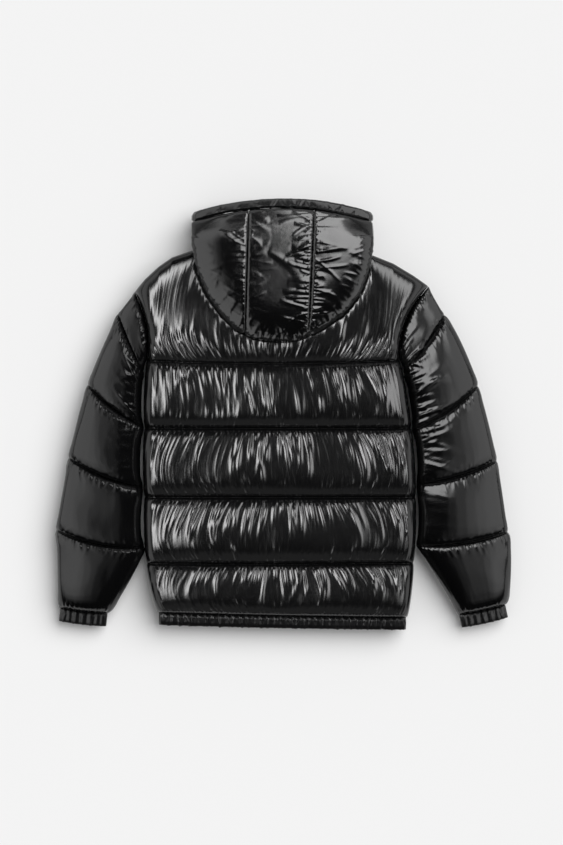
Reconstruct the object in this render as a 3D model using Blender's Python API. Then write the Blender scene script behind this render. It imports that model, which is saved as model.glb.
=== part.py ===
# Hooded puffer jacket lying flat on its front, back up.
# Metres, +X across, +Y towards the hood, +Z up from the surface that it lies on.
# The origin is on that surface, under the middle of the jacket's outline.

import math

import bmesh
import bpy
from mathutils import Vector

# ------------------------------------------------------------ driving sizes

SEAM_GAP = 0.0004            # between two pieces that are sewn together
ARMHOLE_GAP = 0.0008         # the same along the curved armhole
TOUCH_GAP = 0.0014           # between a sleeve and the side of the body

BODY_CENTRE_X = -0.0056      # the centre line of the body, beside the outline's own middle
LAYER_Z = 0.0300             # where the fronts end and the back begins
EDGE_THICKNESS = 0.0060      # a padded wall at its seams
SIDE_ROUNDING = 0.0420       # how far in from its side a baffle reaches full height
UNDER_ROUNDING = 0.0260
GROOVE_UNDER = 0.0100        # depth of a quilting line in the flattened underside

PUCKER_COUNT = 14            # broad puckers along one baffle of the back
PUCKER_HEIGHT = 0.0022
PUCKER_SHIFT = 0.37          # a baffle's puckers beside those of the baffle below it
BACK_COLUMNS = 42
FRONT_COLUMNS = 9
ROWS_PER_BAFFLE = 6
YOKE_ROWS = 9

# The quilting lines from the hem seam up: their height at the left, the middle and the right,
# the body's sides there, and the loft of the baffle that follows.
QUILT_LINES = [
    dict(y_left=-0.371, y_middle=-0.377, y_right=-0.380, left=-0.2360, right=0.2300, loft=0.037),
    dict(y_left=-0.280, y_middle=-0.281, y_right=-0.279, left=-0.2560, right=0.2410, loft=0.041),
    dict(y_left=-0.156, y_middle=-0.157, y_right=-0.156, left=-0.2600, right=0.2450, loft=0.041),
    dict(y_left=-0.027, y_middle=-0.028, y_right=-0.027, left=-0.2600, right=0.2370, loft=0.041),
    dict(y_left=0.098, y_middle=0.093, y_right=0.099, left=-0.2560, right=0.2150, loft=0.040),
]
SIDE_BULGE = 0.0040          # a baffle's side beyond the line between its two seams

# The upper edge of the back and the fronts, from shoulder point over the neck to shoulder point.
SHOULDER_LINE = [
    dict(x=-0.2786, y=0.2272),
    dict(x=-0.2600, y=0.2497),
    dict(x=-0.2337, y=0.2740),
    dict(x=-0.2094, y=0.2908),
    dict(x=-0.1720, y=0.3039),
    dict(x=-0.1100, y=0.3080),
    dict(x=-0.0700, y=0.2950),
    dict(x=-0.0056, y=0.2833),
    dict(x=0.0590, y=0.2950),
    dict(x=0.1000, y=0.3080),
    dict(x=0.1664, y=0.2945),
    dict(x=0.2038, y=0.2796),
    dict(x=0.2412, y=0.2571),
    dict(x=0.2693, y=0.2375),
]
ARMHOLE_SAG = dict(left=0.0100, right=0.0160)    # how far the armhole seam curves inwards

# The sleeves, from the first quilting line to the cuff. Each row is a seam: its outer and inner
# end, its sag towards the cuff, the level of the slit between the walls, and the tube's
# reach above and below that level at the seam. "loft" is the baffle before the seam, above the
# level, and the bulges are that baffle's sides beyond the line between its seams.
SLEEVE_SEAMS = dict(
    left=[
        dict(outer=(-0.3104, 0.1861), inner_y=0.0739, sag=0.0030, level=0.030,
             above=0.0075, below=0.0200, loft=0.026, bulge_out=0.001, bulge_in=0.000),
        dict(outer=(-0.3665, 0.0533), inner_y=-0.0252, sag=0.0075, level=0.030,
             above=0.0075, below=0.0200, loft=0.037, bulge_out=0.005, bulge_in=0.000),
        dict(outer=(-0.4021, -0.0832), inner_y=-0.1374, sag=0.0095, level=0.030,
             above=0.0075, below=0.0200, loft=0.038, bulge_out=0.006, bulge_in=0.000),
        dict(outer=(-0.4252, -0.2179), inner_y=-0.2496, sag=0.0120, level=0.030,
             above=0.0075, below=0.0200, loft=0.038, bulge_out=0.005, bulge_in=0.000),
        dict(outer=(-0.4198, -0.3637), inner_y=-0.3740, inner_x=-0.3291, sag=0.0020, level=0.021,
             above=0.0100, below=0.0100, loft=0.039, bulge_out=0.006, bulge_in=0.012),
    ],
    right=[
        dict(outer=(0.2992, 0.1842), inner_y=0.0757, sag=0.0030, level=0.030,
             above=0.0075, below=0.0200, loft=0.026, bulge_out=0.002, bulge_in=0.000),
        dict(outer=(0.3618, 0.0514), inner_y=-0.0327, sag=0.0070, level=0.030,
             above=0.0075, below=0.0200, loft=0.037, bulge_out=0.009, bulge_in=0.000),
        dict(outer=(0.3974, -0.0888), inner_y=-0.1318, sag=0.0080, level=0.030,
             above=0.0075, below=0.0200, loft=0.038, bulge_out=0.005, bulge_in=0.000),
        dict(outer=(0.4179, -0.2216), inner_y=-0.2468, sag=0.0080, level=0.030,
             above=0.0075, below=0.0200, loft=0.038, bulge_out=0.004, bulge_in=0.000),
        dict(outer=(0.4151, -0.3572), inner_y=-0.3768, inner_x=0.3263, sag=0.0020, level=0.021,
             above=0.0100, below=0.0100, loft=0.039, bulge_out=0.012, bulge_in=0.001),
    ],
)
SLEEVE_SLIT = 0.0008         # between the sleeve's two walls
SLIT_SHARE = 0.84            # the slit's width in the sleeve's width
RING_POINTS = 20
SLIT_POINTS = 10
RINGS_PER_BAFFLE = 6

CUFF_LENGTH = 0.0240
CUFF_GATHERS = 10            # on each face of a cuff
CUFF_GATHER_HEIGHT = 0.0016
POINTS_PER_GATHER = 4

HEM_HEIGHT = 0.0235
HEM_THICKNESS = 0.0135
HEM_INSET = 0.0020           # the band ends this far inside the body's side
HEM_ROUNDING = 0.0025
HEM_END_SHARE = 0.40         # the band's thickness at its ends, of the full one
HEM_CREST = 0.30             # where the band is thickest, as shares of its height
HEM_FALL = 0.75
HEM_FRONT_STEPS = 10
HEM_GATHERS = 36
HEM_GATHER_HEIGHT = 0.0014
HEM_GATHER_START = 0.08      # where in a gather the band begins
STATIONS_PER_GATHER = 3

# The hood's outline below the brim: how far it reaches to each side of its centre line.
HOOD_CENTRE_X = -0.0030
HOOD_OUTLINE = [
    dict(y=0.1320, left=0.0000, right=0.0000),
    dict(y=0.1370, left=0.0480, right=0.0300),
    dict(y=0.1543, left=0.0850, right=0.0700),
    dict(y=0.1861, left=0.1166, right=0.1178),
    dict(y=0.2250, left=0.1430, right=0.1480),
    dict(y=0.2690, left=0.1615, right=0.1640),
    dict(y=0.3110, left=0.1690, right=0.1700),
    dict(y=0.3300, left=0.1705, right=0.1712),
    dict(y=0.3750, left=0.1710, right=0.1675),
]
HOOD_SEAMS = dict(           # a panel seam's place across, at the brim and at the bottom
    left=dict(brim=-0.0650, bottom=-0.0725),
    right=dict(brim=0.0570, bottom=0.0455),
)
YOKE_UNDER_HOOD_Z = 0.0520   # the yoke, pressed flat by the hood
HOOD_MARGIN = 0.0200         # the flat part of the yoke past the hood's outline
HOOD_UNDER_THICKNESS = 0.0140
HOOD_SLIT = 0.0010           # between the hood's two layers
HOOD_LOFT = 0.0340           # the upper layer above its inner face
HOOD_ROUNDING = 0.0450
HOOD_FOLD_WALL = 0.0120      # cloth and padding in the fold at the side
HOOD_SEAM_DIP = 0.0090
HOOD_SEAM_DIP_WIDTH = 0.0160
HOOD_FOLD_SOFTNESS = 0.0030
HOOD_CORNER_WIDTH = 0.0080   # the side panel's last width, where the outline meets its seam
HOOD_LIP = 0.0320            # what turns under at the sides, beyond the neck
NECK_SIDE_LOW_Y = 0.2800     # between these the lower layer ends along the neck
NECK_SIDE_HIGH_Y = 0.3300
NECK_SEAM_INSET = 0.0030
HOOD_LOWER_FROM_Y = 0.3160   # the upper layer comes down to the brim from here
HOOD_LOWER_LENGTH = 0.0500
UNDER_DROP_FROM_Y = 0.3100   # the lower layer steps down from the neck onto the hood's front
UNDER_DROP_LENGTH = 0.0280
ROWS_PAST_NECK = 5
ROWS_OVER_YOKE = 10
HOOD_STATIONS = 15
HOOD_ACROSS = 7
HOOD_UNDER_POINTS = 4

BRIM_MIDDLE_Y = 0.4010
BRIM_DROP = 0.0265           # the brim's ends lie lower than its middle
BRIM_HALF_WIDTH = 0.1700
BRIM_HEIGHT = 0.0180
BRIM_THICKNESS = 0.0130
HOOD_WALL_AT_BRIM = 0.0110
BRIM_TOP_Z = 0.0560          # the casing's centre line on top, and underneath at the neck
BRIM_UNDER_Z = 0.0150
BRIM_SECTION_POINTS = 8
BRIM_UNDER_STEPS = 5
BRIM_TURN_STEPS = 8
BRIM_OVER_STEPS = 18

COLLAR_SIDE = 0.1560         # the hood's front reaches less far than this from the centre
COLLAR_ROWS = 6
ZIP_WIDTH = 0.0080
ZIP_EDGE_DEPTH = 0.0100      # how blunt a front is beside the zip
ZIP_LOW_Z = 0.0110
ZIP_HIGH_Z = 0.0150

NYLON = dict(base=(0.010, 0.010, 0.011), roughness=0.22, metallic=0.0)
ELASTIC = dict(base=(0.013, 0.013, 0.014), roughness=0.35, metallic=0.0)
ZIP_TEETH = dict(base=(0.020, 0.020, 0.021), roughness=0.45, metallic=0.0)


# ------------------------------------------------------------ small helpers

def mix(start, end, share):
    return start + (end - start) * share


def clamp(value):
    return max(0.0, min(1.0, value))


def pillow(share):
    # 0 at both seams of a baffle, 1 in its middle, steep at the seams
    return math.sqrt(max(0.0, 4.0 * share * (1.0 - share)))


def rounded(distance, radius):
    # a quarter ellipse: 0 at an edge, 1 from one radius inwards
    share = clamp(distance / radius)
    return math.sqrt(1.0 - (1.0 - share) ** 2)


def smooth(share):
    share = clamp(share)
    return share * share * (3.0 - 2.0 * share)


def look_up(rows, key, at, column):
    # straight lines between the rows of a table, level beyond its ends
    if at <= rows[0][key]:
        return rows[0][column]
    for before, after in zip(rows, rows[1:]):
        if at <= after[key]:
            share = (at - before[key]) / (after[key] - before[key])
            return mix(before[column], after[column], share)
    return rows[-1][column]


def outward(side):
    return -1.0 if side == "left" else 1.0


def near_ends(count):
    # shares from 0 to 1 that lie closer together at both ends
    return [0.5 - 0.5 * math.cos(math.pi * step / count) for step in range(count + 1)]


def distance_to_line(point, line):
    # from a place in plan to the nearest stretch of a line of points
    nearest = math.inf
    place = Vector(point)
    for start, end in zip(line, line[1:]):
        along = Vector(end) - Vector(start)
        share = clamp((place - Vector(start)).dot(along) / along.length_squared)
        nearest = min(nearest, (place - Vector(start) - along * share).length)
    return nearest


# ------------------------------------------------------------ meshes and materials

def clear_scene():
    for thing in list(bpy.data.objects):
        bpy.data.objects.remove(thing, do_unlink=True)


def make_material(name, finish):
    material = bpy.data.materials.new(name)
    material.use_nodes = True
    shader = material.node_tree.nodes["Principled BSDF"]
    shader.inputs["Base Color"].default_value = (*finish["base"], 1.0)
    shader.inputs["Roughness"].default_value = finish["roughness"]
    shader.inputs["Metallic"].default_value = finish["metallic"]
    return material


def make_object(name, shape, finish):
    # takes a bmesh that is one closed shell
    bmesh.ops.recalc_face_normals(shape, faces=shape.faces)
    mesh = bpy.data.meshes.new(name)
    shape.to_mesh(mesh)
    shape.free()
    mesh.shade_smooth()
    mesh.materials.append(make_material(name + "_cloth", finish))
    thing = bpy.data.objects.new(name, mesh)
    bpy.context.collection.objects.link(thing)
    return thing


def add_grid(shape, grid):
    # adds the points of a grid and the faces between them, and gives the vertices back
    rows = [[shape.verts.new(point) for point in row] for row in grid]
    for lower, upper in zip(rows, rows[1:]):
        for column in range(len(lower) - 1):
            shape.faces.new((lower[column], lower[column + 1], upper[column + 1], upper[column]))
    return rows


def rim_of(rows):
    # the vertices round a grid, in order
    rim = list(rows[0])
    rim += [row[-1] for row in rows[1:]]
    rim += list(reversed(rows[-1][:-1]))
    rim += [row[0] for row in reversed(rows[1:-1])]
    return rim


def join_loops(shape, first, second):
    # quads between two closed loops of as many vertices
    for index in range(len(first)):
        following = (index + 1) % len(first)
        shape.faces.new((first[index], first[following], second[following], second[index]))


def join_uneven_loops(shape, fine, coarse):
    # faces between a fine closed loop and one with a whole fraction of its vertices
    ratio = len(fine) // len(coarse)
    half = ratio // 2
    for index, corner in enumerate(coarse):
        following = coarse[(index + 1) % len(coarse)]
        start = index * ratio
        run = [fine[(start + step) % len(fine)] for step in range(ratio + 1)]
        for step in range(half):
            shape.faces.new((run[step], run[step + 1], corner))
        shape.faces.new((run[half], following, corner))
        for step in range(half, ratio):
            shape.faces.new((run[step], run[step + 1], following))


def padded_slab(name, grid, flat_z, finish):
    # a quilted panel: a shaped face over or under a plain flat one
    shape = bmesh.new()
    rim = rim_of(add_grid(shape, grid))
    flat = [shape.verts.new((vertex.co.x, vertex.co.y, flat_z)) for vertex in rim]
    join_loops(shape, rim, flat)
    plain = shape.faces.new(flat)
    bmesh.ops.triangulate(shape, faces=[plain], ngon_method="BEAUTY")
    return make_object(name, shape, finish)


def thick_sheet(name, outer_grid, inner_grid, finish):
    # a padded sheet between two grids of as many points
    shape = bmesh.new()
    outer_rim = rim_of(add_grid(shape, outer_grid))
    inner_rim = rim_of(add_grid(shape, inner_grid))
    join_loops(shape, outer_rim, inner_rim)
    return make_object(name, shape, finish)


def flattened_tube(name, outer_rings, slit_rings, finish):
    # a tube with a thin slit inside, open at both ends
    shape = bmesh.new()
    outside = [[shape.verts.new(point) for point in ring] for ring in outer_rings]
    inside = [[shape.verts.new(point) for point in ring] for ring in slit_rings]
    for rings in (outside, inside):
        for lower, upper in zip(rings, rings[1:]):
            join_loops(shape, lower, upper)
    join_uneven_loops(shape, outside[0], inside[0])
    join_uneven_loops(shape, outside[-1], inside[-1])
    return make_object(name, shape, finish)


def swept_bar(name, stations, finish):
    # a bar through sections of as many points, closed at both ends
    shape = bmesh.new()
    rings = [[shape.verts.new(point) for point in section] for section in stations]
    for lower, upper in zip(rings, rings[1:]):
        join_loops(shape, lower, upper)
    ends = [shape.faces.new(rings[0]), shape.faces.new(rings[-1])]
    bmesh.ops.triangulate(shape, faces=ends, ngon_method="BEAUTY")
    return make_object(name, shape, finish)


# ------------------------------------------------------------ the body's plan

def body_side(side, y):
    # the body's edge below the armhole, scalloped between the quilting lines
    key = "y_" + side
    for lower, upper in zip(QUILT_LINES, QUILT_LINES[1:]):
        if y <= upper[key] or upper is QUILT_LINES[-1]:
            share = clamp((y - lower[key]) / (upper[key] - lower[key]))
            straight = mix(lower[side], upper[side], share)
            return straight + outward(side) * SIDE_BULGE * pillow(share)


def quilt_line_y(line, across):
    # a quilting line droops or rises to its middle; across runs from 0 at the left to 1
    ends = mix(line["y_left"], line["y_right"], across)
    middle = line["y_middle"] - 0.5 * (line["y_left"] + line["y_right"])
    return ends + middle * 4.0 * across * (1.0 - across)


def armhole(side, share):
    # the armhole seam in plan, from the shoulder point down to the underarm
    shoulder = SHOULDER_LINE[0] if side == "left" else SHOULDER_LINE[-1]
    top = Vector((shoulder["x"], shoulder["y"]))
    bottom = Vector((QUILT_LINES[-1][side], QUILT_LINES[-1]["y_" + side]))
    inwards = Vector((-outward(side), 0.0))
    return top.lerp(bottom, share) + inwards * ARMHOLE_SAG[side] * 4.0 * share * (1.0 - share)


def shoulder_y(x):
    return look_up(SHOULDER_LINE, "x", x, "y")


def body_rows():
    # every row of the body from the hem seam to the shoulders, as a function of the share
    # across, with the share within its baffle and the baffle's own number
    rows = []
    for number, (lower, upper) in enumerate(zip(QUILT_LINES, QUILT_LINES[1:])):
        for share in near_ends(ROWS_PER_BAFFLE)[:-1]:
            rows.append((number, share, lower, upper))
    for share in near_ends(YOKE_ROWS):
        rows.append((len(QUILT_LINES) - 1, share, QUILT_LINES[-1], None))
    return rows


def body_place(row, across):
    number, share, lower, upper = row
    if upper is None:
        left = armhole("left", 1.0 - share)
        right = armhole("right", 1.0 - share)
        x = mix(left.x, right.x, across)
        first = SHOULDER_LINE[0]["x"]
        last = SHOULDER_LINE[-1]["x"]
        low = quilt_line_y(lower, across)
        high = shoulder_y(mix(first, last, across))
        return Vector((x, mix(low, high, share)))
    y = mix(quilt_line_y(lower, across), quilt_line_y(upper, across), share)
    left_y = mix(lower["y_left"], upper["y_left"], share)
    right_y = mix(lower["y_right"], upper["y_right"], share)
    return Vector((mix(body_side("left", left_y), body_side("right", right_y), across), y))


def hood_line():
    # the hood's outline in plan, from the left end of the brim round the bottom to the right
    left = [(HOOD_CENTRE_X - row["left"], row["y"]) for row in reversed(HOOD_OUTLINE)]
    right = [(HOOD_CENTRE_X + row["right"], row["y"]) for row in HOOD_OUTLINE[1:]]
    return left + right


def inside_hood(point):
    # how deep a place in plan lies inside the hood's outline, below 0 outside
    x, y = point
    reach = "left" if x < HOOD_CENTRE_X else "right"
    depth = distance_to_line(point, hood_line())
    within = y > HOOD_OUTLINE[0]["y"]
    within = within and abs(x - HOOD_CENTRE_X) < look_up(HOOD_OUTLINE, "y", y, reach)
    return depth if within else -depth


# ------------------------------------------------------------ back and fronts

def back_height(row, across, place):
    number, share, lower, upper = row
    loft = lower["loft"]
    width = QUILT_LINES[0]["right"] - QUILT_LINES[0]["left"]
    from_side = min(across, 1.0 - across) * width
    side = rounded(from_side, SIDE_ROUNDING)
    crown = pillow(share) if upper else pillow(0.5 * share)
    if upper is None:
        crown = min(crown, rounded(shoulder_y(place.x) - place.y, SIDE_ROUNDING))
    wave = math.sin(2.0 * math.pi * (PUCKER_COUNT * across + PUCKER_SHIFT * number))
    pucker = PUCKER_HEIGHT * wave * (1.0 - share) * crown * side
    height = LAYER_Z + EDGE_THICKNESS + (loft - EDGE_THICKNESS) * crown * side + pucker
    if upper is None:
        past_hood = -inside_hood(place) - HOOD_MARGIN
        pressed = YOKE_UNDER_HOOD_Z + max(0.0, past_hood)
        height = min(height, pressed)
        if past_hood < 0.0 and abs(place.x - BODY_CENTRE_X) < COLLAR_SIDE:
            # the neck edge is as thick as the pressed yoke, because the hood is sewn on there
            edge = rounded(shoulder_y(place.x) - place.y, SIDE_ROUNDING)
            height = max(height, mix(height, YOKE_UNDER_HOOD_Z, 1.0 - edge))
    return height


def build_back():
    grid = []
    for row in body_rows():
        points = []
        for column in range(BACK_COLUMNS + 1):
            across = column / BACK_COLUMNS
            place = body_place(row, across)
            points.append((place.x, place.y, back_height(row, across, place)))
        grid.append(points)
    return padded_slab("back", grid, LAYER_Z + 0.5 * SEAM_GAP, NYLON)


def under_depth(crown, from_side, from_zip):
    # the underside rests flat, with a groove at each quilting line and round edges
    groove = GROOVE_UNDER * (1.0 - min(1.0, 1.5 * crown))
    edge = min(rounded(from_side, UNDER_ROUNDING),
               rounded(from_zip + ZIP_EDGE_DEPTH, UNDER_ROUNDING))
    top = LAYER_Z - EDGE_THICKNESS
    return top - (top - groove) * min(1.0, 1.04 * edge)


def front_columns(side, outer_x):
    # places across a front, from the side seam to the zip
    zip_edge = BODY_CENTRE_X + outward(side) * 0.5 * ZIP_WIDTH
    return [mix(outer_x, zip_edge, share) for share in near_ends(FRONT_COLUMNS)]


def front_row(side, row):
    # built under the back, edge under edge, up to the zip
    number, share, lower, upper = row
    left = body_place(row, 0.0)
    right = body_place(row, 1.0)
    outer = left if side == "left" else right
    columns = front_columns(side, outer.x)
    points = []
    for x in columns:
        place = body_place(row, (x - left.x) / (right.x - left.x))
        crown = pillow(share) if upper else pillow(0.5 * share)
        if upper is None:
            crown = min(crown, rounded(shoulder_y(x) - place.y, UNDER_ROUNDING))
        depth = under_depth(crown, abs(x - outer.x), abs(x - columns[-1]))
        points.append((x, place.y, depth))
    return points


def build_front(side):
    grid = [front_row(side, row) for row in body_rows()]
    return padded_slab("front_" + side, grid, LAYER_Z - 0.5 * SEAM_GAP, NYLON)


def build_collar(side):
    # the hood's front below the chin: sewn to the front's neck, and up to the brim
    neck = [point for point in front_row(side, body_rows()[-1])
            if abs(point[0] - BODY_CENTRE_X) < COLLAR_SIDE]
    outer = neck[0][0]
    zip_edge = neck[-1][0]
    top_y = brim_ends_y() - SEAM_GAP
    grid = []
    for share in near_ends(COLLAR_ROWS):
        points = []
        for x, neck_y, _ in neck:
            depth = under_depth(pillow(share), abs(x - outer), abs(x - zip_edge))
            points.append((x, mix(neck_y + SEAM_GAP, top_y, share), depth))
        grid.append(points)
    return padded_slab("collar_" + side, grid, LAYER_Z - 0.5 * SEAM_GAP, NYLON)


# ------------------------------------------------------------ sleeves and cuffs

def sleeve_seams(side):
    # the armhole first, then the rows of the table, all with both ends
    top = armhole(side, 0.0)
    bottom = armhole(side, 1.0)
    rows = [dict(outer=(top.x, top.y), inner_y=bottom.y, sag=0.0, level=LAYER_Z,
                 above=EDGE_THICKNESS, below=EDGE_THICKNESS)]
    return rows + SLEEVE_SEAMS[side]


def seam_inner(side, row):
    if "inner_x" in row:
        return Vector((row["inner_x"], row["inner_y"]))
    beside = body_side(side, row["inner_y"]) + outward(side) * TOUCH_GAP
    return Vector((beside, row["inner_y"]))


def sleeve_plan(side, baffle, share, across):
    # a place in the sleeve, across from its outer edge at 0 to its inner edge at 1
    seams = sleeve_seams(side)
    lower = seams[baffle]
    upper = seams[baffle + 1]
    if baffle == 0 and share == 0.0:
        # the first ring is the armhole seam itself
        seam = armhole(side, across)
        return seam + Vector((outward(side) * ARMHOLE_GAP, 0.0))
    start = Vector(lower["outer"]).lerp(Vector(upper["outer"]), share)
    along = (Vector(upper["outer"]) - Vector(lower["outer"])).normalized()
    aside = Vector((-along.y, along.x)) * outward(side)
    start += aside * upper["bulge_out"] * pillow(share)
    end = seam_inner(side, lower).lerp(seam_inner(side, upper), share)
    if "inner_x" in upper:
        end += Vector((-outward(side), 0.0)) * upper["bulge_in"] * pillow(share)
    else:
        end.x = body_side(side, end.y) + outward(side) * TOUCH_GAP
    chord = end - start
    towards_cuff = Vector((-chord.y, chord.x)).normalized() * outward(side)
    sag = mix(lower["sag"], upper["sag"], share)
    if baffle == 0:
        inwards = -ARMHOLE_SAG[side] * (1.0 - share)
        sag = mix(inwards, upper["sag"], share)
    return start + chord * across + towards_cuff * sag * 4.0 * across * (1.0 - across)


def sleeve_section(side, baffle, share):
    # the slit's level and the tube's reach above and below it
    seams = sleeve_seams(side)
    lower = seams[baffle]
    upper = seams[baffle + 1]
    level = mix(lower["level"], upper["level"], share)
    above = mix(lower["above"], upper["above"], share)
    below = mix(lower["below"], upper["below"], share)
    crown = pillow(share)
    above += (upper["loft"] - above) * crown
    below += (level - below) * min(1.0, 1.5 * crown)
    return level, above, below


def tube_ring(plan, level, above, below, points):
    # plan gives a place for a share across; the ring goes over the top and back underneath
    ring = []
    for step in range(points):
        angle = 2.0 * math.pi * step / points
        across = 0.5 - 0.5 * math.cos(angle)
        rise = abs(math.sin(angle))
        place = plan(across)
        if angle <= math.pi:
            z = level + above * rise
        else:
            z = level - below * min(1.0, 1.25 * rise)
        ring.append((place.x, place.y, z))
    return ring


def slit_ring(plan, level):
    ring = []
    for step in range(SLIT_POINTS):
        angle = 2.0 * math.pi * step / SLIT_POINTS
        across = 0.5 - 0.5 * SLIT_SHARE * math.cos(angle)
        place = plan(across)
        ring.append((place.x, place.y, level + 0.5 * SLEEVE_SLIT * math.sin(angle)))
    return ring


def build_sleeve(side):
    outer_rings = []
    slit_rings = []
    last = len(SLEEVE_SEAMS[side]) - 1
    for baffle in range(len(SLEEVE_SEAMS[side])):
        shares = near_ends(RINGS_PER_BAFFLE)
        if baffle < last:
            shares = shares[:-1]
        for share in shares:
            level, above, below = sleeve_section(side, baffle, share)
            plan = lambda across: sleeve_plan(side, baffle, share, across)
            outer_rings.append(tube_ring(plan, level, above, below, RING_POINTS))
            slit_rings.append(slit_ring(plan, level))
    return flattened_tube("sleeve_" + side, outer_rings, slit_rings[:1] + slit_rings[3::3],
                          NYLON)


def build_cuff(side):
    last = len(SLEEVE_SEAMS[side]) - 1
    seam = SLEEVE_SEAMS[side][last]
    start = sleeve_plan(side, last, 1.0, 0.0)
    end = sleeve_plan(side, last, 1.0, 1.0)
    chord = end - start
    towards_cuff = Vector((-chord.y, chord.x)).normalized() * outward(side)
    points = 2 * CUFF_GATHERS * POINTS_PER_GATHER
    outer_rings = []
    slit_rings = []
    for share in (0.0, 0.2, 0.8, 1.0):
        shift = towards_cuff * (SEAM_GAP + CUFF_LENGTH * share)
        fullness = 0.82 if share in (0.0, 1.0) else 1.0
        ring = []
        for step in range(points):
            angle = 2.0 * math.pi * step / points
            across = 0.5 - 0.49 * math.cos(angle)
            place = sleeve_plan(side, last, 1.0, across) + shift
            wave = math.cos(2.0 * math.pi * step / POINTS_PER_GATHER) * CUFF_GATHER_HEIGHT
            reach = seam["above"] * math.sqrt(abs(math.sin(angle))) * fullness
            reach += wave * abs(math.sin(angle))
            direction = 1.0 if angle <= math.pi else -1.0
            ring.append((place.x, place.y, seam["level"] + direction * max(0.0, reach)))
        outer_rings.append(ring)
        plan = lambda across: sleeve_plan(side, last, 1.0, across) + shift
        slit_rings.append(slit_ring(plan, seam["level"]))
    return flattened_tube("cuff_" + side, outer_rings, [slit_rings[0], slit_rings[-1]], ELASTIC)


# ------------------------------------------------------------ hem bands

def hem_section(x, across, inner_z, thickness, wave):
    # a soft band below the body's last seam, at one place across
    top = quilt_line_y(QUILT_LINES[0], across) - SEAM_GAP
    outer_z = inner_z + thickness
    corner_z = outer_z - math.copysign(HEM_ROUNDING, thickness)
    return [
        (x, top, inner_z),
        (x, top, corner_z),
        (x, top - HEM_CREST * HEM_HEIGHT, outer_z + wave),
        (x, top - HEM_FALL * HEM_HEIGHT, outer_z + HEM_FALL * wave),
        (x, top - HEM_HEIGHT, corner_z),
        (x, top - HEM_HEIGHT, inner_z),
    ]


def build_hem_back():
    left = QUILT_LINES[0]["left"] + HEM_INSET
    right = QUILT_LINES[0]["right"] - HEM_INSET
    inner_z = LAYER_Z + 0.5 * SEAM_GAP
    count = HEM_GATHERS * STATIONS_PER_GATHER
    stations = []
    for step in range(count + 1):
        across = step / count
        ends = rounded(min(across, 1.0 - across) * (right - left), HEM_THICKNESS)
        thickness = HEM_THICKNESS * mix(HEM_END_SHARE, 1.0, ends)
        turn = step / STATIONS_PER_GATHER + HEM_GATHER_START
        wave = HEM_GATHER_HEIGHT * math.sin(2.0 * math.pi * turn)
        x = mix(left, right, across)
        stations.append(hem_section(x, across, inner_z, thickness, wave))
    return swept_bar("hem_back", stations, ELASTIC)


def build_hem_front(side):
    outer = QUILT_LINES[0][side] - outward(side) * HEM_INSET
    zip_edge = BODY_CENTRE_X + outward(side) * 0.5 * ZIP_WIDTH
    inner_z = LAYER_Z - 0.5 * SEAM_GAP
    stations = []
    left = QUILT_LINES[0]["left"]
    width = QUILT_LINES[0]["right"] - left
    for share in near_ends(HEM_FRONT_STEPS):
        x = mix(outer, zip_edge, share)
        ends = rounded(abs(x - outer), HEM_THICKNESS)
        thickness = HEM_THICKNESS * mix(HEM_END_SHARE, 1.0, ends)
        stations.append(hem_section(x, (x - left) / width, inner_z, -thickness, 0.0))
    return swept_bar("hem_" + side, stations, ELASTIC)


# ------------------------------------------------------------ hood

def brim_drop(x):
    share = min(1.0, abs(x - HOOD_CENTRE_X) / BRIM_HALF_WIDTH)
    return BRIM_DROP * share * share


def brim_ends_y():
    # the casing's lower edge at the sides and underneath
    return BRIM_MIDDLE_Y - BRIM_HEIGHT - BRIM_DROP


def hood_brim_seam_y(x):
    return BRIM_MIDDLE_Y - BRIM_HEIGHT - SEAM_GAP - brim_drop(x)


def hood_seam_x(side, y):
    seam = HOOD_SEAMS[side]
    share = (BRIM_MIDDLE_Y - y) / (BRIM_MIDDLE_Y - HOOD_OUTLINE[0]["y"])
    return mix(seam["brim"], seam["bottom"], share)


def hood_inner_z(y):
    # the inner face of the upper layer, which comes down to the brim past the shoulders
    flat = YOKE_UNDER_HOOD_Z + SEAM_GAP + HOOD_UNDER_THICKNESS + HOOD_SLIT
    at_brim = BRIM_TOP_Z - 0.5 * HOOD_WALL_AT_BRIM
    return mix(flat, at_brim, smooth((y - HOOD_LOWER_FROM_Y) / HOOD_LOWER_LENGTH))


def hood_under_z(y):
    # the lower face of the lower layer: on the yoke, then down onto the hood's front
    on_yoke = YOKE_UNDER_HOOD_Z + SEAM_GAP
    on_collar = LAYER_Z + SEAM_GAP
    return mix(on_yoke, on_collar, smooth((y - UNDER_DROP_FROM_Y) / UNDER_DROP_LENGTH))


def hood_under_top_z(y):
    return hood_under_z(y) + HOOD_UNDER_THICKNESS


def hood_fold_z(y):
    # the level of the slit between the layers, where they turn into each other
    return mix(hood_under_top_z(y), hood_inner_z(y), 0.5)


def hood_edge(x, y, radius):
    return rounded(max(0.0, inside_hood((x, y))) + HOOD_FOLD_SOFTNESS, radius)


def hood_top_z(x, y):
    past_brim = rounded(hood_brim_seam_y(x) - y, HOOD_ROUNDING)
    loft = mix(HOOD_WALL_AT_BRIM, HOOD_LOFT, past_brim)
    nearest_seam = min(abs(x - hood_seam_x("left", y)), abs(x - hood_seam_x("right", y)))
    dip = HOOD_SEAM_DIP * (1.0 - smooth(nearest_seam / HOOD_SEAM_DIP_WIDTH))
    full = hood_inner_z(y) + loft - dip * past_brim
    return mix(hood_fold_z(y), full, hood_edge(x, y, HOOD_ROUNDING))


def hood_lower_z(x, y):
    return mix(hood_fold_z(y), hood_under_z(y), hood_edge(x, y, 0.5 * HOOD_ROUNDING))


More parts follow.
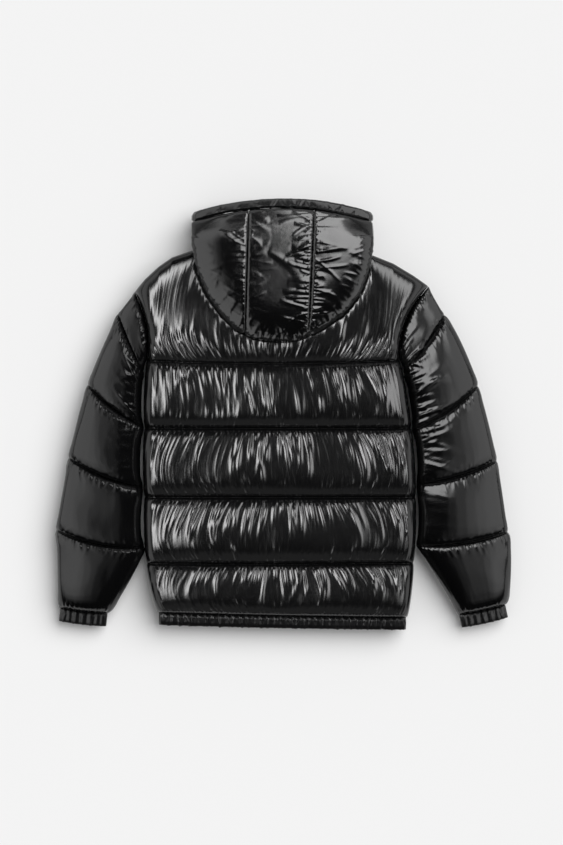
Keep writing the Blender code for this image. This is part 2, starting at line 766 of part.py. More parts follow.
def hood_seam_start(side, level_y, lift_share):
    # a panel seam's place on a row that follows the brim's curve
    x = hood_seam_x(side, level_y)
    for _ in range(4):
        y = level_y + (hood_brim_seam_y(x) - hood_side_top_y()) * lift_share
        x = hood_seam_x(side, y)
    return x + outward(side) * 0.5 * SEAM_GAP


def hood_side_top_y():
    return brim_ends_y() - SEAM_GAP


def hood_side_bottom_y(side):
    # where the outline has come in to the panel seam
    y = HOOD_OUTLINE[0]["y"]
    while True:
        reach = look_up(HOOD_OUTLINE, "y", y, side)
        width = outward(side) * (HOOD_CENTRE_X + outward(side) * reach - hood_seam_x(side, y))
        if width > HOOD_CORNER_WIDTH:
            return y
        y += 0.0002


def hood_levels(side):
    # the side panel's rows: from the brim to the neck, then over the yoke to the bottom
    top = hood_side_top_y()
    past_neck = [mix(top, UNDER_DROP_FROM_Y, share) for share in near_ends(ROWS_PAST_NECK)]
    bottom = hood_side_bottom_y(side)
    over_yoke = [mix(UNDER_DROP_FROM_Y, bottom, share) for share in near_ends(ROWS_OVER_YOKE)]
    return past_neck + over_yoke[1:]


def build_hood_side(side):
    # a sheet that goes from the panel seam out to the side, folds and comes back underneath
    outer_grid = []
    inner_grid = []
    levels = hood_levels(side)
    for level_y in levels:
        lift_share = ((level_y - levels[-1]) / (levels[0] - levels[-1])) ** 2
        reach = look_up(HOOD_OUTLINE, "y", level_y, side)
        fold_x = HOOD_CENTRE_X + outward(side) * reach
        start_x = hood_seam_start(side, level_y, lift_share)
        width = abs(fold_x - start_x)
        slit_x = fold_x - outward(side) * min(HOOD_FOLD_WALL, 0.4 * width)
        outer_row = []
        inner_row = []
        for step in range(HOOD_ACROSS + 1):
            share = math.sin(0.5 * math.pi * step / HOOD_ACROSS)
            at_fold = step == HOOD_ACROSS
            x = mix(start_x, fold_x, share)
            y = level_y + (hood_brim_seam_y(x) - hood_side_top_y()) * lift_share
            outer_row.append((x, y, hood_fold_z(y) if at_fold else hood_top_z(x, y)))
            x = mix(start_x, slit_x, share)
            y = level_y + (hood_brim_seam_y(x) - hood_side_top_y()) * lift_share
            inner_row.append((x, y, hood_fold_z(y) if at_fold else hood_inner_z(y)))

        # past the neck only a lip turns under
        under_start_x = hood_seam_x(side, level_y) + outward(side) * 0.5 * SEAM_GAP
        lip_x = fold_x - outward(side) * min(HOOD_LIP, 0.9 * width)
        past_neck = smooth((level_y - NECK_SIDE_LOW_Y) / (NECK_SIDE_HIGH_Y - NECK_SIDE_LOW_Y))
        end_x = mix(under_start_x, lip_x, past_neck)
        for step in range(1, HOOD_UNDER_POINTS + 1):
            share = step / HOOD_UNDER_POINTS
            x = mix(fold_x, end_x, share)
            outer_row.append((x, level_y, hood_lower_z(x, level_y)))
            inner_row.append((mix(slit_x, end_x, share), level_y, hood_under_top_z(level_y)))
        outer_grid.append(outer_row)
        inner_grid.append(inner_row)
    return thick_sheet("hood_" + side, outer_grid, inner_grid, NYLON)


def build_hood_centre():
    # a strip from the brim over the crown, folded at the bottom and back to the neck
    outer_grid = []
    inner_grid = []
    for column in range(HOOD_ACROSS + 2):
        across = column / (HOOD_ACROSS + 1)

        def place_x(y):
            left = hood_seam_x("left", y) + 0.5 * SEAM_GAP
            right = hood_seam_x("right", y) - 0.5 * SEAM_GAP
            return mix(left, right, across)

        fold_y = hood_bottom_y(place_x(HOOD_OUTLINE[0]["y"]))
        slit_y = fold_y + HOOD_FOLD_WALL
        brim_y = hood_brim_seam_y(place_x(BRIM_MIDDLE_Y - BRIM_HEIGHT))
        neck_y = shoulder_y(place_x(SHOULDER_LINE[0]["y"])) - NECK_SEAM_INSET
        outer_row = []
        inner_row = []
        for step, share in enumerate(near_ends(HOOD_STATIONS - 1)):
            at_fold = step == HOOD_STATIONS - 1
            y = mix(brim_y, fold_y, share)
            x = place_x(y)
            outer_row.append((x, y, hood_fold_z(y) if at_fold else hood_top_z(x, y)))
            y = mix(brim_y, slit_y, share)
            inner_row.append((place_x(y), y, hood_fold_z(y) if at_fold else hood_inner_z(y)))
        for step in range(1, 2 * HOOD_UNDER_POINTS + 1):
            share = step / (2 * HOOD_UNDER_POINTS)
            y = mix(fold_y, neck_y, share)
            x = place_x(y)
            outer_row.append((x, y, hood_lower_z(x, y)))
            y = mix(slit_y, neck_y, share)
            inner_row.append((place_x(y), y, hood_under_top_z(y)))
        outer_grid.append(outer_row)
        inner_grid.append(inner_row)
    return thick_sheet("hood_centre", outer_grid, inner_grid, NYLON)


def hood_bottom_y(x):
    # where the hood's outline crosses a place across, along its bottom
    outline = hood_line()
    for start, end in zip(outline, outline[1:]):
        if start[0] <= x <= end[0] and end[0] > start[0]:
            return mix(start[1], end[1], (x - start[0]) / (end[0] - start[0]))
    return outline[-1][1]


def brim_path():
    # places across and up, the way out of the casing's face there, and whether it shows: from
    # the zip underneath, round the left side, over the top, round the right side and back
    turn = 0.5 * (BRIM_TOP_Z - BRIM_UNDER_Z)
    middle_z = BRIM_UNDER_Z + turn
    half = BRIM_HALF_WIDTH - 0.5 * BRIM_THICKNESS - turn
    zip_half = 0.5 * ZIP_WIDTH + SEAM_GAP
    sides = []
    for side in ("left", "right"):
        turn_x = HOOD_CENTRE_X + outward(side) * half
        run = []
        for step in range(BRIM_UNDER_STEPS):
            start_x = BODY_CENTRE_X + outward(side) * zip_half
            x = mix(start_x, turn_x, step / BRIM_UNDER_STEPS)
            run.append((x, BRIM_UNDER_Z, 0.0, -1.0, False))
        for step in range(BRIM_TURN_STEPS + 1):
            angle = math.pi * (step / BRIM_TURN_STEPS - 0.5)
            out_x = outward(side) * math.cos(angle)
            out_z = math.sin(angle)
            on_top = 2 * step >= BRIM_TURN_STEPS
            run.append((turn_x + turn * out_x, middle_z + turn * out_z, out_x, out_z, on_top))
        sides.append(run)
    over = []
    for step in range(1, BRIM_OVER_STEPS):
        share = step / BRIM_OVER_STEPS
        over.append((HOOD_CENTRE_X + half * (2.0 * share - 1.0), BRIM_TOP_Z, 0.0, 1.0, True))
    return sides[0] + over + list(reversed(sides[1]))


def build_brim():
    stations = []
    for x, z, out_x, out_z, on_top in brim_path():
        section = []
        for step in range(BRIM_SECTION_POINTS):
            angle = 2.0 * math.pi * (step + 0.5) / BRIM_SECTION_POINTS
            flat = 1.0 / math.cos(math.pi / BRIM_SECTION_POINTS)
            aside = 0.5 * BRIM_THICKNESS * flat * math.sin(angle)
            along = 0.5 * BRIM_HEIGHT * flat * math.cos(angle)
            drop = brim_drop(x + out_x * aside) if on_top else BRIM_DROP
            y = BRIM_MIDDLE_Y - 0.5 * BRIM_HEIGHT - drop + along
            section.append((x + out_x * aside, y, z + out_z * aside))
        stations.append(section)
    return swept_bar("hood_brim", stations, NYLON)


def build_zip():
    half = 0.5 * ZIP_WIDTH - SEAM_GAP
    bottom = quilt_line_y(QUILT_LINES[0], 0.5) - HEM_HEIGHT
    stations = []
    for y in (bottom, brim_ends_y() + BRIM_HEIGHT):
        stations.append([
            (BODY_CENTRE_X - half, y, ZIP_LOW_Z),
            (BODY_CENTRE_X + half, y, ZIP_LOW_Z),
            (BODY_CENTRE_X + half, y, ZIP_HIGH_Z),
            (BODY_CENTRE_X - half, y, ZIP_HIGH_Z),
        ])
    return swept_bar("zip", stations, ZIP_TEETH)


# ------------------------------------------------------------ the jacket

def build_jacket():
    clear_scene()
    build_back()
    for side in ("left", "right"):
        build_front(side)
        build_sleeve(side)
        build_cuff(side)
        build_hem_front(side)
        build_hood_side(side)
        build_collar(side)
    build_hem_back()
    build_hood_centre()
    build_brim()
    build_zip()


build_jacket()
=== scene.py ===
import math

import bpy
import numpy as np
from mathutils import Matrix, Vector


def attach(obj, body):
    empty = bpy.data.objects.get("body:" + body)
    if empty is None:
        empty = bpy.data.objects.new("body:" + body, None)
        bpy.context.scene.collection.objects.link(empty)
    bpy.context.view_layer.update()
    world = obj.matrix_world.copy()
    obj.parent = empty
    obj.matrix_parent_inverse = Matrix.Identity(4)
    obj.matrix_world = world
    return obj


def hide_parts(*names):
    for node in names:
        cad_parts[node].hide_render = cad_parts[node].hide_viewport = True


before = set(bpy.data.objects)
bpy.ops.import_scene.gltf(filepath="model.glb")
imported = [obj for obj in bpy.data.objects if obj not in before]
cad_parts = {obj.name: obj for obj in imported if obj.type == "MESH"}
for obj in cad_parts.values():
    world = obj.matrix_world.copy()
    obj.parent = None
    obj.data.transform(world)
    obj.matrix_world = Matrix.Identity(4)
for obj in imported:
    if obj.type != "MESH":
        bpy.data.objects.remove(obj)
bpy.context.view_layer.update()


# small tools for points

def mix(start, end, share):
    return start + (end - start) * share


def smooth(share):
    share = np.clip(share, 0.0, 1.0)
    return share * share * (3.0 - 2.0 * share)


def fadeIn(value, start, width):
    return smooth((value - start) / width)


def rounded(distance, radius):
    share = np.clip(distance / radius, 0.0, 1.0)
    return np.sqrt(1.0 - (1.0 - share) ** 2)


def pillow(share):
    return np.sqrt(np.clip(4.0 * share * (1.0 - share), 0.0, 1.0))


def fuller(share, power):
    # a pillow with flatter top and steeper ends
    return np.clip(1.0 - np.abs(2.0 * share - 1.0) ** power, 0.0, 1.0) ** (1.0 / power)


def nearEnds(count):
    return 0.5 - 0.5 * np.cos(np.pi * np.arange(count + 1) / count)


def signOf(side):
    return -1.0 if side == "left" else 1.0


def flat(points):
    return np.ascontiguousarray(points, dtype=float).reshape(-1)


def readVectors(items, key):
    values = np.empty(len(items) * 3)
    items.foreach_get(key, values)
    return values.reshape(-1, 3)


def readPoints(thing):
    return readVectors(thing.data.vertices, "co")


def readNormals(thing):
    return readVectors(thing.data.vertex_normals, "vector")


def writePoints(thing, points):
    thing.data.vertices.foreach_set("co", flat(points))
    thing.data.update()


def setAll(thing, **values):
    for key, value in values.items():
        setattr(thing, key, value)
    return thing


def onlySelect(thing):
    bpy.ops.object.select_all(action="DESELECT")
    thing.select_set(True)
    bpy.context.view_layer.objects.active = thing


def applyAll(thing):
    onlySelect(thing)
    for modifier in list(thing.modifiers):
        bpy.ops.object.modifier_apply(modifier=modifier.name)


def editAll(thing):
    onlySelect(thing)
    bpy.ops.object.mode_set(mode="EDIT")
    bpy.ops.mesh.select_all(action="SELECT")


def turnOutwards():
    # the last step of an edit
    bpy.ops.mesh.select_all(action="SELECT")
    bpy.ops.mesh.normals_make_consistent(inside=False)
    bpy.ops.object.mode_set(mode="OBJECT")


merge = {"node": 0.00002, "tube": 0.00005}


def copyNode(node, name):
    # a merged copy of a node's loose triangles
    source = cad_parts[node]
    thing = source.copy()
    thing.data = source.data.copy()
    thing.name = name
    thing.parent = None
    thing.matrix_world = source.matrix_world
    bpy.context.scene.collection.objects.link(thing)
    thing.hide_render = False
    thing.hide_set(False)
    onlySelect(thing)
    bpy.ops.object.transform_apply(location=True, rotation=True, scale=True)
    editAll(thing)
    bpy.ops.mesh.remove_doubles(threshold=merge["node"])
    bpy.ops.object.mode_set(mode="OBJECT")
    thing.data.materials.clear()
    return thing


def evenCopy(node, name, size):
    # the same form in even faces, and its points
    thing = copyNode(node, name)
    setAll(thing.modifiers.new("even", "REMESH"), mode="VOXEL", voxel_size=size, adaptivity=0.0)
    applyAll(thing)
    return thing, readPoints(thing)


def pushOut(thing, points, wave):
    writePoints(thing, points + readNormals(thing) * wave[:, None])


def gridOf(name, points):
    # a grid primitive shaped to rows of points
    rows, columns, _ = points.shape
    bpy.ops.mesh.primitive_grid_add(x_subdivisions=columns - 1, y_subdivisions=rows - 1, size=1.0)
    thing = bpy.context.object
    thing.name = name
    writePoints(thing, points)
    return thing


def closeGrid(thing, level):
    # a wall from the rim to a flat level, and a plain face there
    editAll(thing)
    bpy.ops.mesh.region_to_loop()
    bpy.ops.mesh.extrude_region_move()
    bpy.ops.object.mode_set(mode="OBJECT")
    points = readPoints(thing)
    picked = np.empty(len(points), dtype=bool)
    thing.data.vertices.foreach_get("select", picked)
    points[picked, 2] = level
    writePoints(thing, points)
    bpy.ops.object.mode_set(mode="EDIT")
    bpy.ops.mesh.edge_face_add()
    turnOutwards()


def closeTube(thing):
    # the first and last columns become one, and the two ends get a face
    editAll(thing)
    bpy.ops.mesh.remove_doubles(threshold=merge["tube"])
    bpy.ops.mesh.select_all(action="DESELECT")
    bpy.ops.mesh.select_non_manifold()
    bpy.ops.mesh.fill()
    turnOutwards()


# each group of pieces has its own light panels
lightGroups = {name: bpy.data.collections.new(name)
               for name in ("body", "sleeveLeft", "sleeveRight", "hood", "brim", "hem")}


def finishPiece(thing, finish, node=None, slot="nylon", fill=None, group="body"):
    lightGroups[group].objects.link(thing)
    onlySelect(thing)
    bpy.ops.object.shade_smooth()
    thing.data.materials.clear()
    thing.data.materials.append(finish)
    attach(thing, "root")
    if node:
        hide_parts(node)


# shaders

class Link:
    def __init__(self, board, socket):
        self.board = board
        self.socket = socket

    def sum(self, other, operation):
        return self.board.add("ShaderNodeMath", {"operation": operation}, [self, other])

    def __add__(self, other):
        return self.sum(other, "ADD")

    def __sub__(self, other):
        return self.sum(other, "SUBTRACT")

    def __mul__(self, other):
        return self.sum(other, "MULTIPLY")


class Board:
    def __init__(self, name):
        self.material = bpy.data.materials.new(name)
        self.material.use_nodes = True
        self.nodes = self.material.node_tree.nodes
        self.links = self.material.node_tree.links
        self.shader = self.nodes["Principled BSDF"]

    def add(self, kind, settings, values, output=0):
        node = setAll(self.nodes.new(kind), **settings)
        pairs = values.items() if isinstance(values, dict) else enumerate(values)
        for key, value in pairs:
            if isinstance(value, Link):
                self.links.new(value.socket, node.inputs[key])
            else:
                node.inputs[key].default_value = value
        return Link(self, node.outputs[output])

    def feed(self, **values):
        for key, value in values.items():
            socket = self.shader.inputs[key.replace("_", " ")]
            if isinstance(value, Link):
                self.links.new(value.socket, socket)
            else:
                socket.default_value = value
        return self.material


def clothFinish(name, colour, rough, fine, broad):
    # rough is the roughness and its spread, fine and broad each a noise's scale and height
    board = Board(name)
    place = board.add("ShaderNodeTexCoord", {}, {}, "Object")
    weave = board.add("ShaderNodeTexNoise", {}, {"Vector": place, "Scale": fine[0],
                                                 "Detail": 3.0, "Roughness": 0.6})
    patch = board.add("ShaderNodeTexNoise", {}, {"Vector": place, "Scale": broad[0],
                                                 "Detail": 2.0, "Roughness": 0.5})
    bump = board.add("ShaderNodeBump", {}, {"Height": weave * fine[1] + patch * broad[1],
                                            "Strength": 1.0, "Distance": 1.0})
    return board.feed(Base_Color=colour, Normal=bump,
                      Roughness=(patch - 0.5) * rough[1] + rough[0])


nylon = clothFinish("glossyNylon", (0.0026, 0.0026, 0.0028, 1.0), rough=(0.16, 0.04),
                    fine=(420.0, 0.00005), broad=(70.0, 0.00012))
elastic = clothFinish("gatheredElastic", (0.0045, 0.0045, 0.0048, 1.0), rough=(0.33, 0.08),
                      fine=(600.0, 0.00012), broad=(120.0, 0.0003))
thread = clothFinish("sewingThread", (0.012, 0.012, 0.012, 1.0), rough=(0.5, 0.1),
                     fine=(900.0, 0.00005), broad=(200.0, 0.0001))
teethPlastic = clothFinish("zipPlastic", (0.02, 0.02, 0.021, 1.0), rough=(0.42, 0.05),
                           fine=(900.0, 0.00002), broad=(200.0, 0.00003))
print("finishes made")


# the body's cut, shared by the back, the fronts and the hem

body = {
    "centre": -0.0056, "layer": 0.03, "edge": 0.006, "sideRounding": 0.042,
    "quiltLines": [
        {"left": (-0.236, -0.371), "middle": -0.377, "right": (0.23, -0.38), "loft": 0.037},
        {"left": (-0.256, -0.28), "middle": -0.281, "right": (0.241, -0.279), "loft": 0.041},
        {"left": (-0.26, -0.156), "middle": -0.157, "right": (0.245, -0.156), "loft": 0.041},
        {"left": (-0.26, -0.027), "middle": -0.028, "right": (0.237, -0.027), "loft": 0.041},
        {"left": (-0.256, 0.098), "middle": 0.093, "right": (0.215, 0.099), "loft": 0.04},
    ],
    "sideBulge": 0.004,
    "shoulders": [
        (-0.2786, 0.2272), (-0.26, 0.2497), (-0.2337, 0.274), (-0.2094, 0.2908),
        (-0.172, 0.3039), (-0.11, 0.308), (-0.07, 0.295), (-0.0056, 0.2833),
        (0.059, 0.295), (0.1, 0.308), (0.1664, 0.2945), (0.2038, 0.2796),
        (0.2412, 0.2571), (0.2693, 0.2375),
    ],
    "armholeSag": {"left": 0.01, "right": 0.016},
    "yokePressed": 0.052,
}
hood = {
    "centre": -0.003,
    "outline": [
        (0.132, 0.0, 0.0), (0.137, 0.048, 0.03), (0.1543, 0.085, 0.07),
        (0.1861, 0.1166, 0.1178), (0.225, 0.143, 0.148), (0.269, 0.1615, 0.164),
        (0.311, 0.169, 0.17), (0.33, 0.1705, 0.1712), (0.375, 0.171, 0.1675),
    ],
    "seams": {"left": (-0.065, -0.0725), "right": (0.057, 0.0455)},
    "seamFrom": 0.401, "seamTo": 0.132,
}
yokeNumber = len(body["quiltLines"]) - 1


def lineY(line, across):
    ends = mix(line["left"][1], line["right"][1], across)
    middle = line["middle"] - 0.5 * (line["left"][1] + line["right"][1])
    return ends + middle * 4.0 * across * (1.0 - across)


def shoulderY(x):
    places = np.array(body["shoulders"])
    return np.interp(x, places[:, 0], places[:, 1])


def sideX(side, lower, upper, share):
    bulge = signOf(side) * body["sideBulge"] * pillow(share)
    return mix(lower[side][0], upper[side][0], share) + bulge


def armholePlace(side, share):
    top = np.array(body["shoulders"][0 if side == "left" else -1])
    bottom = np.array(body["quiltLines"][-1][side])
    place = mix(top, bottom, share)
    place[0] -= signOf(side) * body["armholeSag"][side] * 4.0 * share * (1.0 - share)
    return place


def bodyRow(number, share, across):
    # places of one row, from the left side at 0 to the right side at 1
    lower = body["quiltLines"][number]
    if number == yokeNumber:
        left = armholePlace("left", 1.0 - share)
        right = armholePlace("right", 1.0 - share)
        first, last = body["shoulders"][0][0], body["shoulders"][-1][0]
        high = shoulderY(mix(first, last, across))
        return mix(left[0], right[0], across), mix(lineY(lower, across), high, share)
    upper = body["quiltLines"][number + 1]
    left = sideX("left", lower, upper, share)
    right = sideX("right", lower, upper, share)
    return mix(left, right, across), mix(lineY(lower, across), lineY(upper, across), share)


def insideHood(x, y):
    # how deep a place in plan lies inside the hood's outline, below 0 outside
    rows = np.array(hood["outline"])
    left = [(hood["centre"] - reach, height) for height, reach, _ in rows[::-1]]
    right = [(hood["centre"] + reach, height) for height, _, reach in rows[1:]]
    line = np.array(left + right)
    nearest = np.full(x.shape, np.inf)
    for start, end in zip(line, line[1:]):
        along = end - start
        share = ((x - start[0]) * along[0] + (y - start[1]) * along[1]) / (along @ along)
        share = np.clip(share, 0.0, 1.0)
        gap = np.hypot(x - start[0] - along[0] * share, y - start[1] - along[1] * share)
        nearest = np.minimum(nearest, gap)
    reach = np.where(x < hood["centre"], np.interp(y, rows[:, 0], rows[:, 1]),
                     np.interp(y, rows[:, 0], rows[:, 2]))
    within = (y > rows[0, 0]) & (np.abs(x - hood["centre"]) < reach)
    return np.where(within, nearest, -nearest)


def bodyRows(perBaffle, inYoke):
    rows = []
    for number in range(yokeNumber):
        rows += [(number, share) for share in nearEnds(perBaffle)[:-1]]
    return rows + [(yokeNumber, share) for share in nearEnds(inYoke)]


# simulated cloth: pieces are gathered here and relaxed together

upward = np.array([0.0, 0.0, 1.0])
seeds = {"bow": 20, "back": 60, "armhole": 7, "hood": 10, "hoodFine": 40, "sleeve": 80,
         "sleeveFine": 120, "rightSleeve": 10, "brim": 5, "band": 3}
clothKind = {"quality": 4, "mass": 0.12, "air_damping": 4.0, "shear_stiffness": 3.0,
             "use_pressure": True}
relaxing = []
relaxFrames = 20


def relax(thing, rest, pinned, look):
    # the cloth is cut larger than its place, so it puckers between what is sewn down
    start = readPoints(thing)
    thing.shape_key_add(name="Basis")
    cut = thing.shape_key_add(name="cut")
    cut.data.foreach_set("co", flat(rest))
    group = thing.vertex_groups.new(name="sewn")
    group.add(np.nonzero(pinned)[0].tolist(), 1.0, "REPLACE")
    cloth = thing.modifiers.new("cloth", "CLOTH")
    setAll(cloth.settings, **clothKind, rest_shape_key=cut, vertex_group_mass=group.name,
           tension_stiffness=look["tension"], compression_stiffness=look["tension"],
           bending_stiffness=look["bending"], uniform_pressure_force=look["pressure"])
    cloth.settings.effector_weights.gravity = 0.0
    cloth.collision_settings.use_collision = False
    relaxing.append((thing, start, look["cap"]))


def layOut(thing, points, shift, pinned, look):
    # starts with part of the gathers' shift, and is cut with more of it
    writePoints(thing, points + look["startShare"] * shift)
    relax(thing, points + look["restShare"] * shift, pinned.reshape(-1), look)


def runRelaxing(frames):
    scene = bpy.context.scene
    setAll(scene, frame_start=1, frame_end=frames)
    for number in range(1, frames + 1):
        scene.frame_set(number)
    depsgraph = bpy.context.evaluated_depsgraph_get()
    moved = []
    for thing, start, cap in relaxing:
        shown = thing.evaluated_get(depsgraph).to_mesh()
        shift = readVectors(shown.vertices, "co") - start
        length = np.linalg.norm(shift, axis=1, keepdims=True)
        moved.append(start + shift * np.minimum(1.0, cap / np.maximum(length, 1e-9)))
    for (thing, _, _), points in zip(relaxing, moved):
        thing.modifiers.clear()
        thing.shape_key_clear()
        thing.vertex_groups.clear()
        writePoints(thing, points)
    scene.frame_set(1)


def pleats(pitch, long, wide, high, slant, start):
    # a row of gathers, with the ranges in millimetres that each one is drawn from
    ranges = {"pitch": pitch, "long": long, "wide": wide, "high": high, "start": start}
    return dict({key: np.array(pair) / 1000.0 for key, pair in ranges.items()}, slant=slant)


gather = {"margin": 0.02, "shortest": 0.6, "fade": 0.8, "peak": 1.9, "narrow": 0.7, "widen": 0.9}


def gathers(along, down, length, rng, look, lean=(0.0, 0.0)):
    # ridges that start at a gathered seam and run out over the cloth, each tapered
    wave = np.zeros(np.broadcast(along, down).shape)
    place = -gather["margin"]
    while place < length + gather["margin"]:
        place += rng.uniform(*look["pitch"])
        long = rng.uniform(*look["long"]) * rng.uniform(gather["shortest"], 1.0)
        wide = rng.uniform(*look["wide"])
        high = rng.uniform(*look["high"])
        slant = rng.normal(mix(lean[0], lean[1], np.clip(place / length, 0.0, 1.0)), look["slant"])
        curl = rng.normal(0.0, look["slant"])
        share = np.clip((down - rng.uniform(*look["start"])) / long, 0.0, 1.0)
        taper = np.sqrt(share) * (1.0 - share) ** gather["fade"] * gather["peak"]
        off = along - place - (slant + curl * share) * down
        spread = wide * (gather["narrow"] + gather["widen"] * share)
        wave += high * taper * np.exp(-(off / spread) ** 2)
    return wave


# a patch's length over its reach
patchLength = 2.5


def patches(along, down, rng, count, lengths, tall):
    # soft patches, about as often high as low
    wave = np.zeros(np.broadcast(along, down).shape)
    for _ in range(count):
        reach = rng.uniform(*lengths) / patchLength
        off = (along - rng.uniform(along.min(), along.max())) / reach
        level = (down - rng.uniform(down.min(), down.max())) / rng.uniform(*tall)
        wave += rng.choice((-1.0, 1.0)) * np.exp(-off ** 2 - level ** 2)
    return wave / wave.std()


def gridNormals(points):
    normals = np.cross(np.gradient(points, axis=1), np.gradient(points, axis=0))
    return normals / np.maximum(np.linalg.norm(normals, axis=2, keepdims=True), 1e-9)


# back

back = {
    "columns": 480, "rowsPerBaffle": 17, "rowsInYoke": 26, "moreRows": 2, "width": 0.52,
    "baffleHeight": 0.125, "yokeHeight": 0.185, "underLift": 0.0002,
    "sideRounding": 0.021, "yokeRounding": 0.02, "shoulderRounding": 0.055,
    "seamRise": 0.022, "crownPower": 2.55, "bulk": 0.0002, "bulkWaves": 14, "bulkShift": 0.37,
    # the height past the hood's edge, and where the neck is held up under it
    "fromHood": [(-0.024, 0.052), (-0.018, 0.0535), (-0.012, 0.0575), (-0.006, 0.0625),
                 (0.0, 0.0672), (0.03, 0.0692), (0.06, 0.07)],
    "neckFrom": -0.002, "neckHalf": 0.156,
    # how far the gathers fan out and wander sideways
    "bow": 0.036, "bowGain": 2.6, "bowPeak": 0.437, "edge": 0.0008,
    "bowSides": [(1.0, 1.0), (1.1, 1.1), (1.1, 0.8), (-0.5, 0.4), (1.8, 1.6)],
    "wander": 0.0012, "wanderGain": 0.4, "wanders": 12, "wanderLong": (0.035, 0.12),
    "wanderTurn": 0.9,
    "startDown": [0.008, 0.01, 0.02, 0.036], "leans": [0.16, 0.16, 0.16, 0.0, 0.0],
    # patches: their number, lengths and heights
    "patchy": (30, (0.04, 0.1), (0.03, 0.07)), "patchShare": 0.4, "patchRange": (0.4, 1.7),
    "broad": (40, (0.05, 0.14), (0.03, 0.08)), "broadHeight": 0.0009,
    "tension": 14.0, "bending": 0.01, "pressure": 0.6, "cap": 0.008,
    "startShare": 0.8, "restShare": 1.15,
    "armholes": {"left": 0.5, "right": 1.0}, "armholeTo": 0.13,
    "fromArmhole": pleats((5, 12), (12, 36), (2.4, 3.6), (0.8, 2), 0.25, (-4, 2)),
    "fromTop": [
        pleats((4.5, 11), (40, 110), (1.5, 2.9), (0.8, 2.1), 0.12, (-2, 10)),
        pleats((4, 9), (14, 40), (1.4, 2.2), (0.4, 1), 0.12, (-6, 1))],
    "fromBottom": pleats((4, 9), (14, 50), (1.4, 2.6), (0.6, 1.6), 0.12, (-2, 4)),
    "inYoke": [
        pleats((5, 12), (35, 90), (1.7, 3.1), (0.7, 1.8), 0.1, (-2, 15)),
        pleats((3, 6), (15, 40), (1.4, 2.2), (0.4, 0.9), 0.1, (-6, 1))],
}


def backHeight(number, share, across, x, y):
    line = body["quiltLines"][number]
    inYoke = number == yokeNumber
    rounding = back["yokeRounding"] if inYoke else back["sideRounding"]
    side = rounded(np.minimum(across, 1.0 - across) * back["width"], rounding)
    crown = fuller(0.5 * share if inYoke else share, back["crownPower"]) * np.ones(x.shape)
    fromShoulder = shoulderY(x) - y
    if inYoke:
        crown = crown * rounded(fromShoulder, back["shoulderRounding"])
    wave = np.sin(2.0 * np.pi * (back["bulkWaves"] * across + back["bulkShift"] * number))
    bulk = back["bulk"] * wave * (1.0 - share) * crown * side
    seam = body["edge"] + (back["seamRise"] - body["edge"]) * side
    height = body["layer"] + seam + (line["loft"] - seam) * crown * side + bulk
    if inYoke:
        pastHood = -insideHood(x, y)
        height = np.minimum(height, np.interp(pastHood, *np.array(back["fromHood"]).T))
        fromCentre = np.abs(x - body["centre"])
        nearNeck = (pastHood < back["neckFrom"]) & (fromCentre < back["neckHalf"])
        edge = rounded(fromShoulder, body["sideRounding"])
        neck = mix(height, body["yokePressed"], 1.0 - edge)
        height = np.where(nearNeck, np.maximum(height, neck), height)
    return height


backRows = bodyRows(back["rowsPerBaffle"], back["rowsInYoke"])
straight = np.linspace(0.0, 1.0, back["columns"] + 1)
outward = 2.0 * straight - 1.0


def bowAcross(number, share):
    # how far a row's places are moved sideways
    rng = np.random.default_rng(seeds["bow"] + number)
    strength = np.where(outward < 0.0, *back["bowSides"][number])
    rise = share ** 0.75 * (1.0 - share) ** 1.25 / back["bowPeak"]
    bow = back["bow"] / back["width"] * back["bowGain"] * outward * (1.0 - outward ** 2)
    bow = bow * strength * rise
    for _ in range(back["wanders"]):
        length = rng.uniform(*back["wanderLong"])
        shift = rng.uniform(-back["wanderTurn"], back["wanderTurn"]) * share
        turn = 2.0 * np.pi * (back["width"] * straight / length + shift + rng.uniform(0.0, 1.0))
        wander = back["wander"] / back["width"] * back["wanderGain"] * np.sin(turn)
        bow += wander * pillow(share) * (1.0 - outward ** 8)
    return bow


backPoints = np.empty((len(backRows), back["columns"] + 1, 3))
for index, (number, share) in enumerate(backRows):
    across = np.clip(straight + bowAcross(number, share), back["edge"], 1.0 - back["edge"])
    across = np.maximum.accumulate(across)
    x, y = bodyRow(number, share, across)
    backPoints[index] = np.column_stack([x, y, backHeight(number, share, across, x, y)])

backNumbers, backShares = np.array(backRows).T
backShares = backShares[:, None]
backAlong = (straight * back["width"])[None, :] * np.ones(backShares.shape)
backPinned = np.zeros(backPoints.shape[:2], dtype=bool)
backPinned[backShares[:, 0] == 0.0] = True
backPinned[-1] = backPinned[:, 0] = backPinned[:, -1] = True
fineWave = np.zeros(backPinned.shape)
broadWave = np.zeros(backPinned.shape)
for number in range(yokeNumber + 1):
    rows = backNumbers == number
    inYoke = number == yokeNumber
    tall = back["yokeHeight"] if inYoke else back["baffleHeight"]
    along = backAlong[rows]
    rise = backShares[rows] * tall * np.ones(along.shape)
    rng = np.random.default_rng(seeds["back"] + number)
    patch = 1.0 + back["patchShare"] * patches(along, rise, rng, *back["patchy"])
    patch = np.clip(patch, *back["patchRange"])
    wave = np.zeros(along.shape)
    lean = back["leans"][number]
    for look in back["inYoke"] if inYoke else back["fromTop"]:
        down = rise if inYoke else tall - rise
        if look is back["fromTop"][0]:
            first, last = look["start"]
            look = dict(look, start=(first, last + back["startDown"][number]))
        wave += gathers(along, down, back["width"], rng, look, (-lean, lean)) * patch
    if not inYoke:
        wave += gathers(along, rise, back["width"], rng, back["fromBottom"])
    fineWave[rows] = wave
    broadWave[rows] = back["broadHeight"] * patches(along, rise, rng, *back["broad"])
broadWave *= pillow(backShares) * ~backPinned
fineWave *= ~backPinned
backSkin = gridOf("backSkin", backPoints)
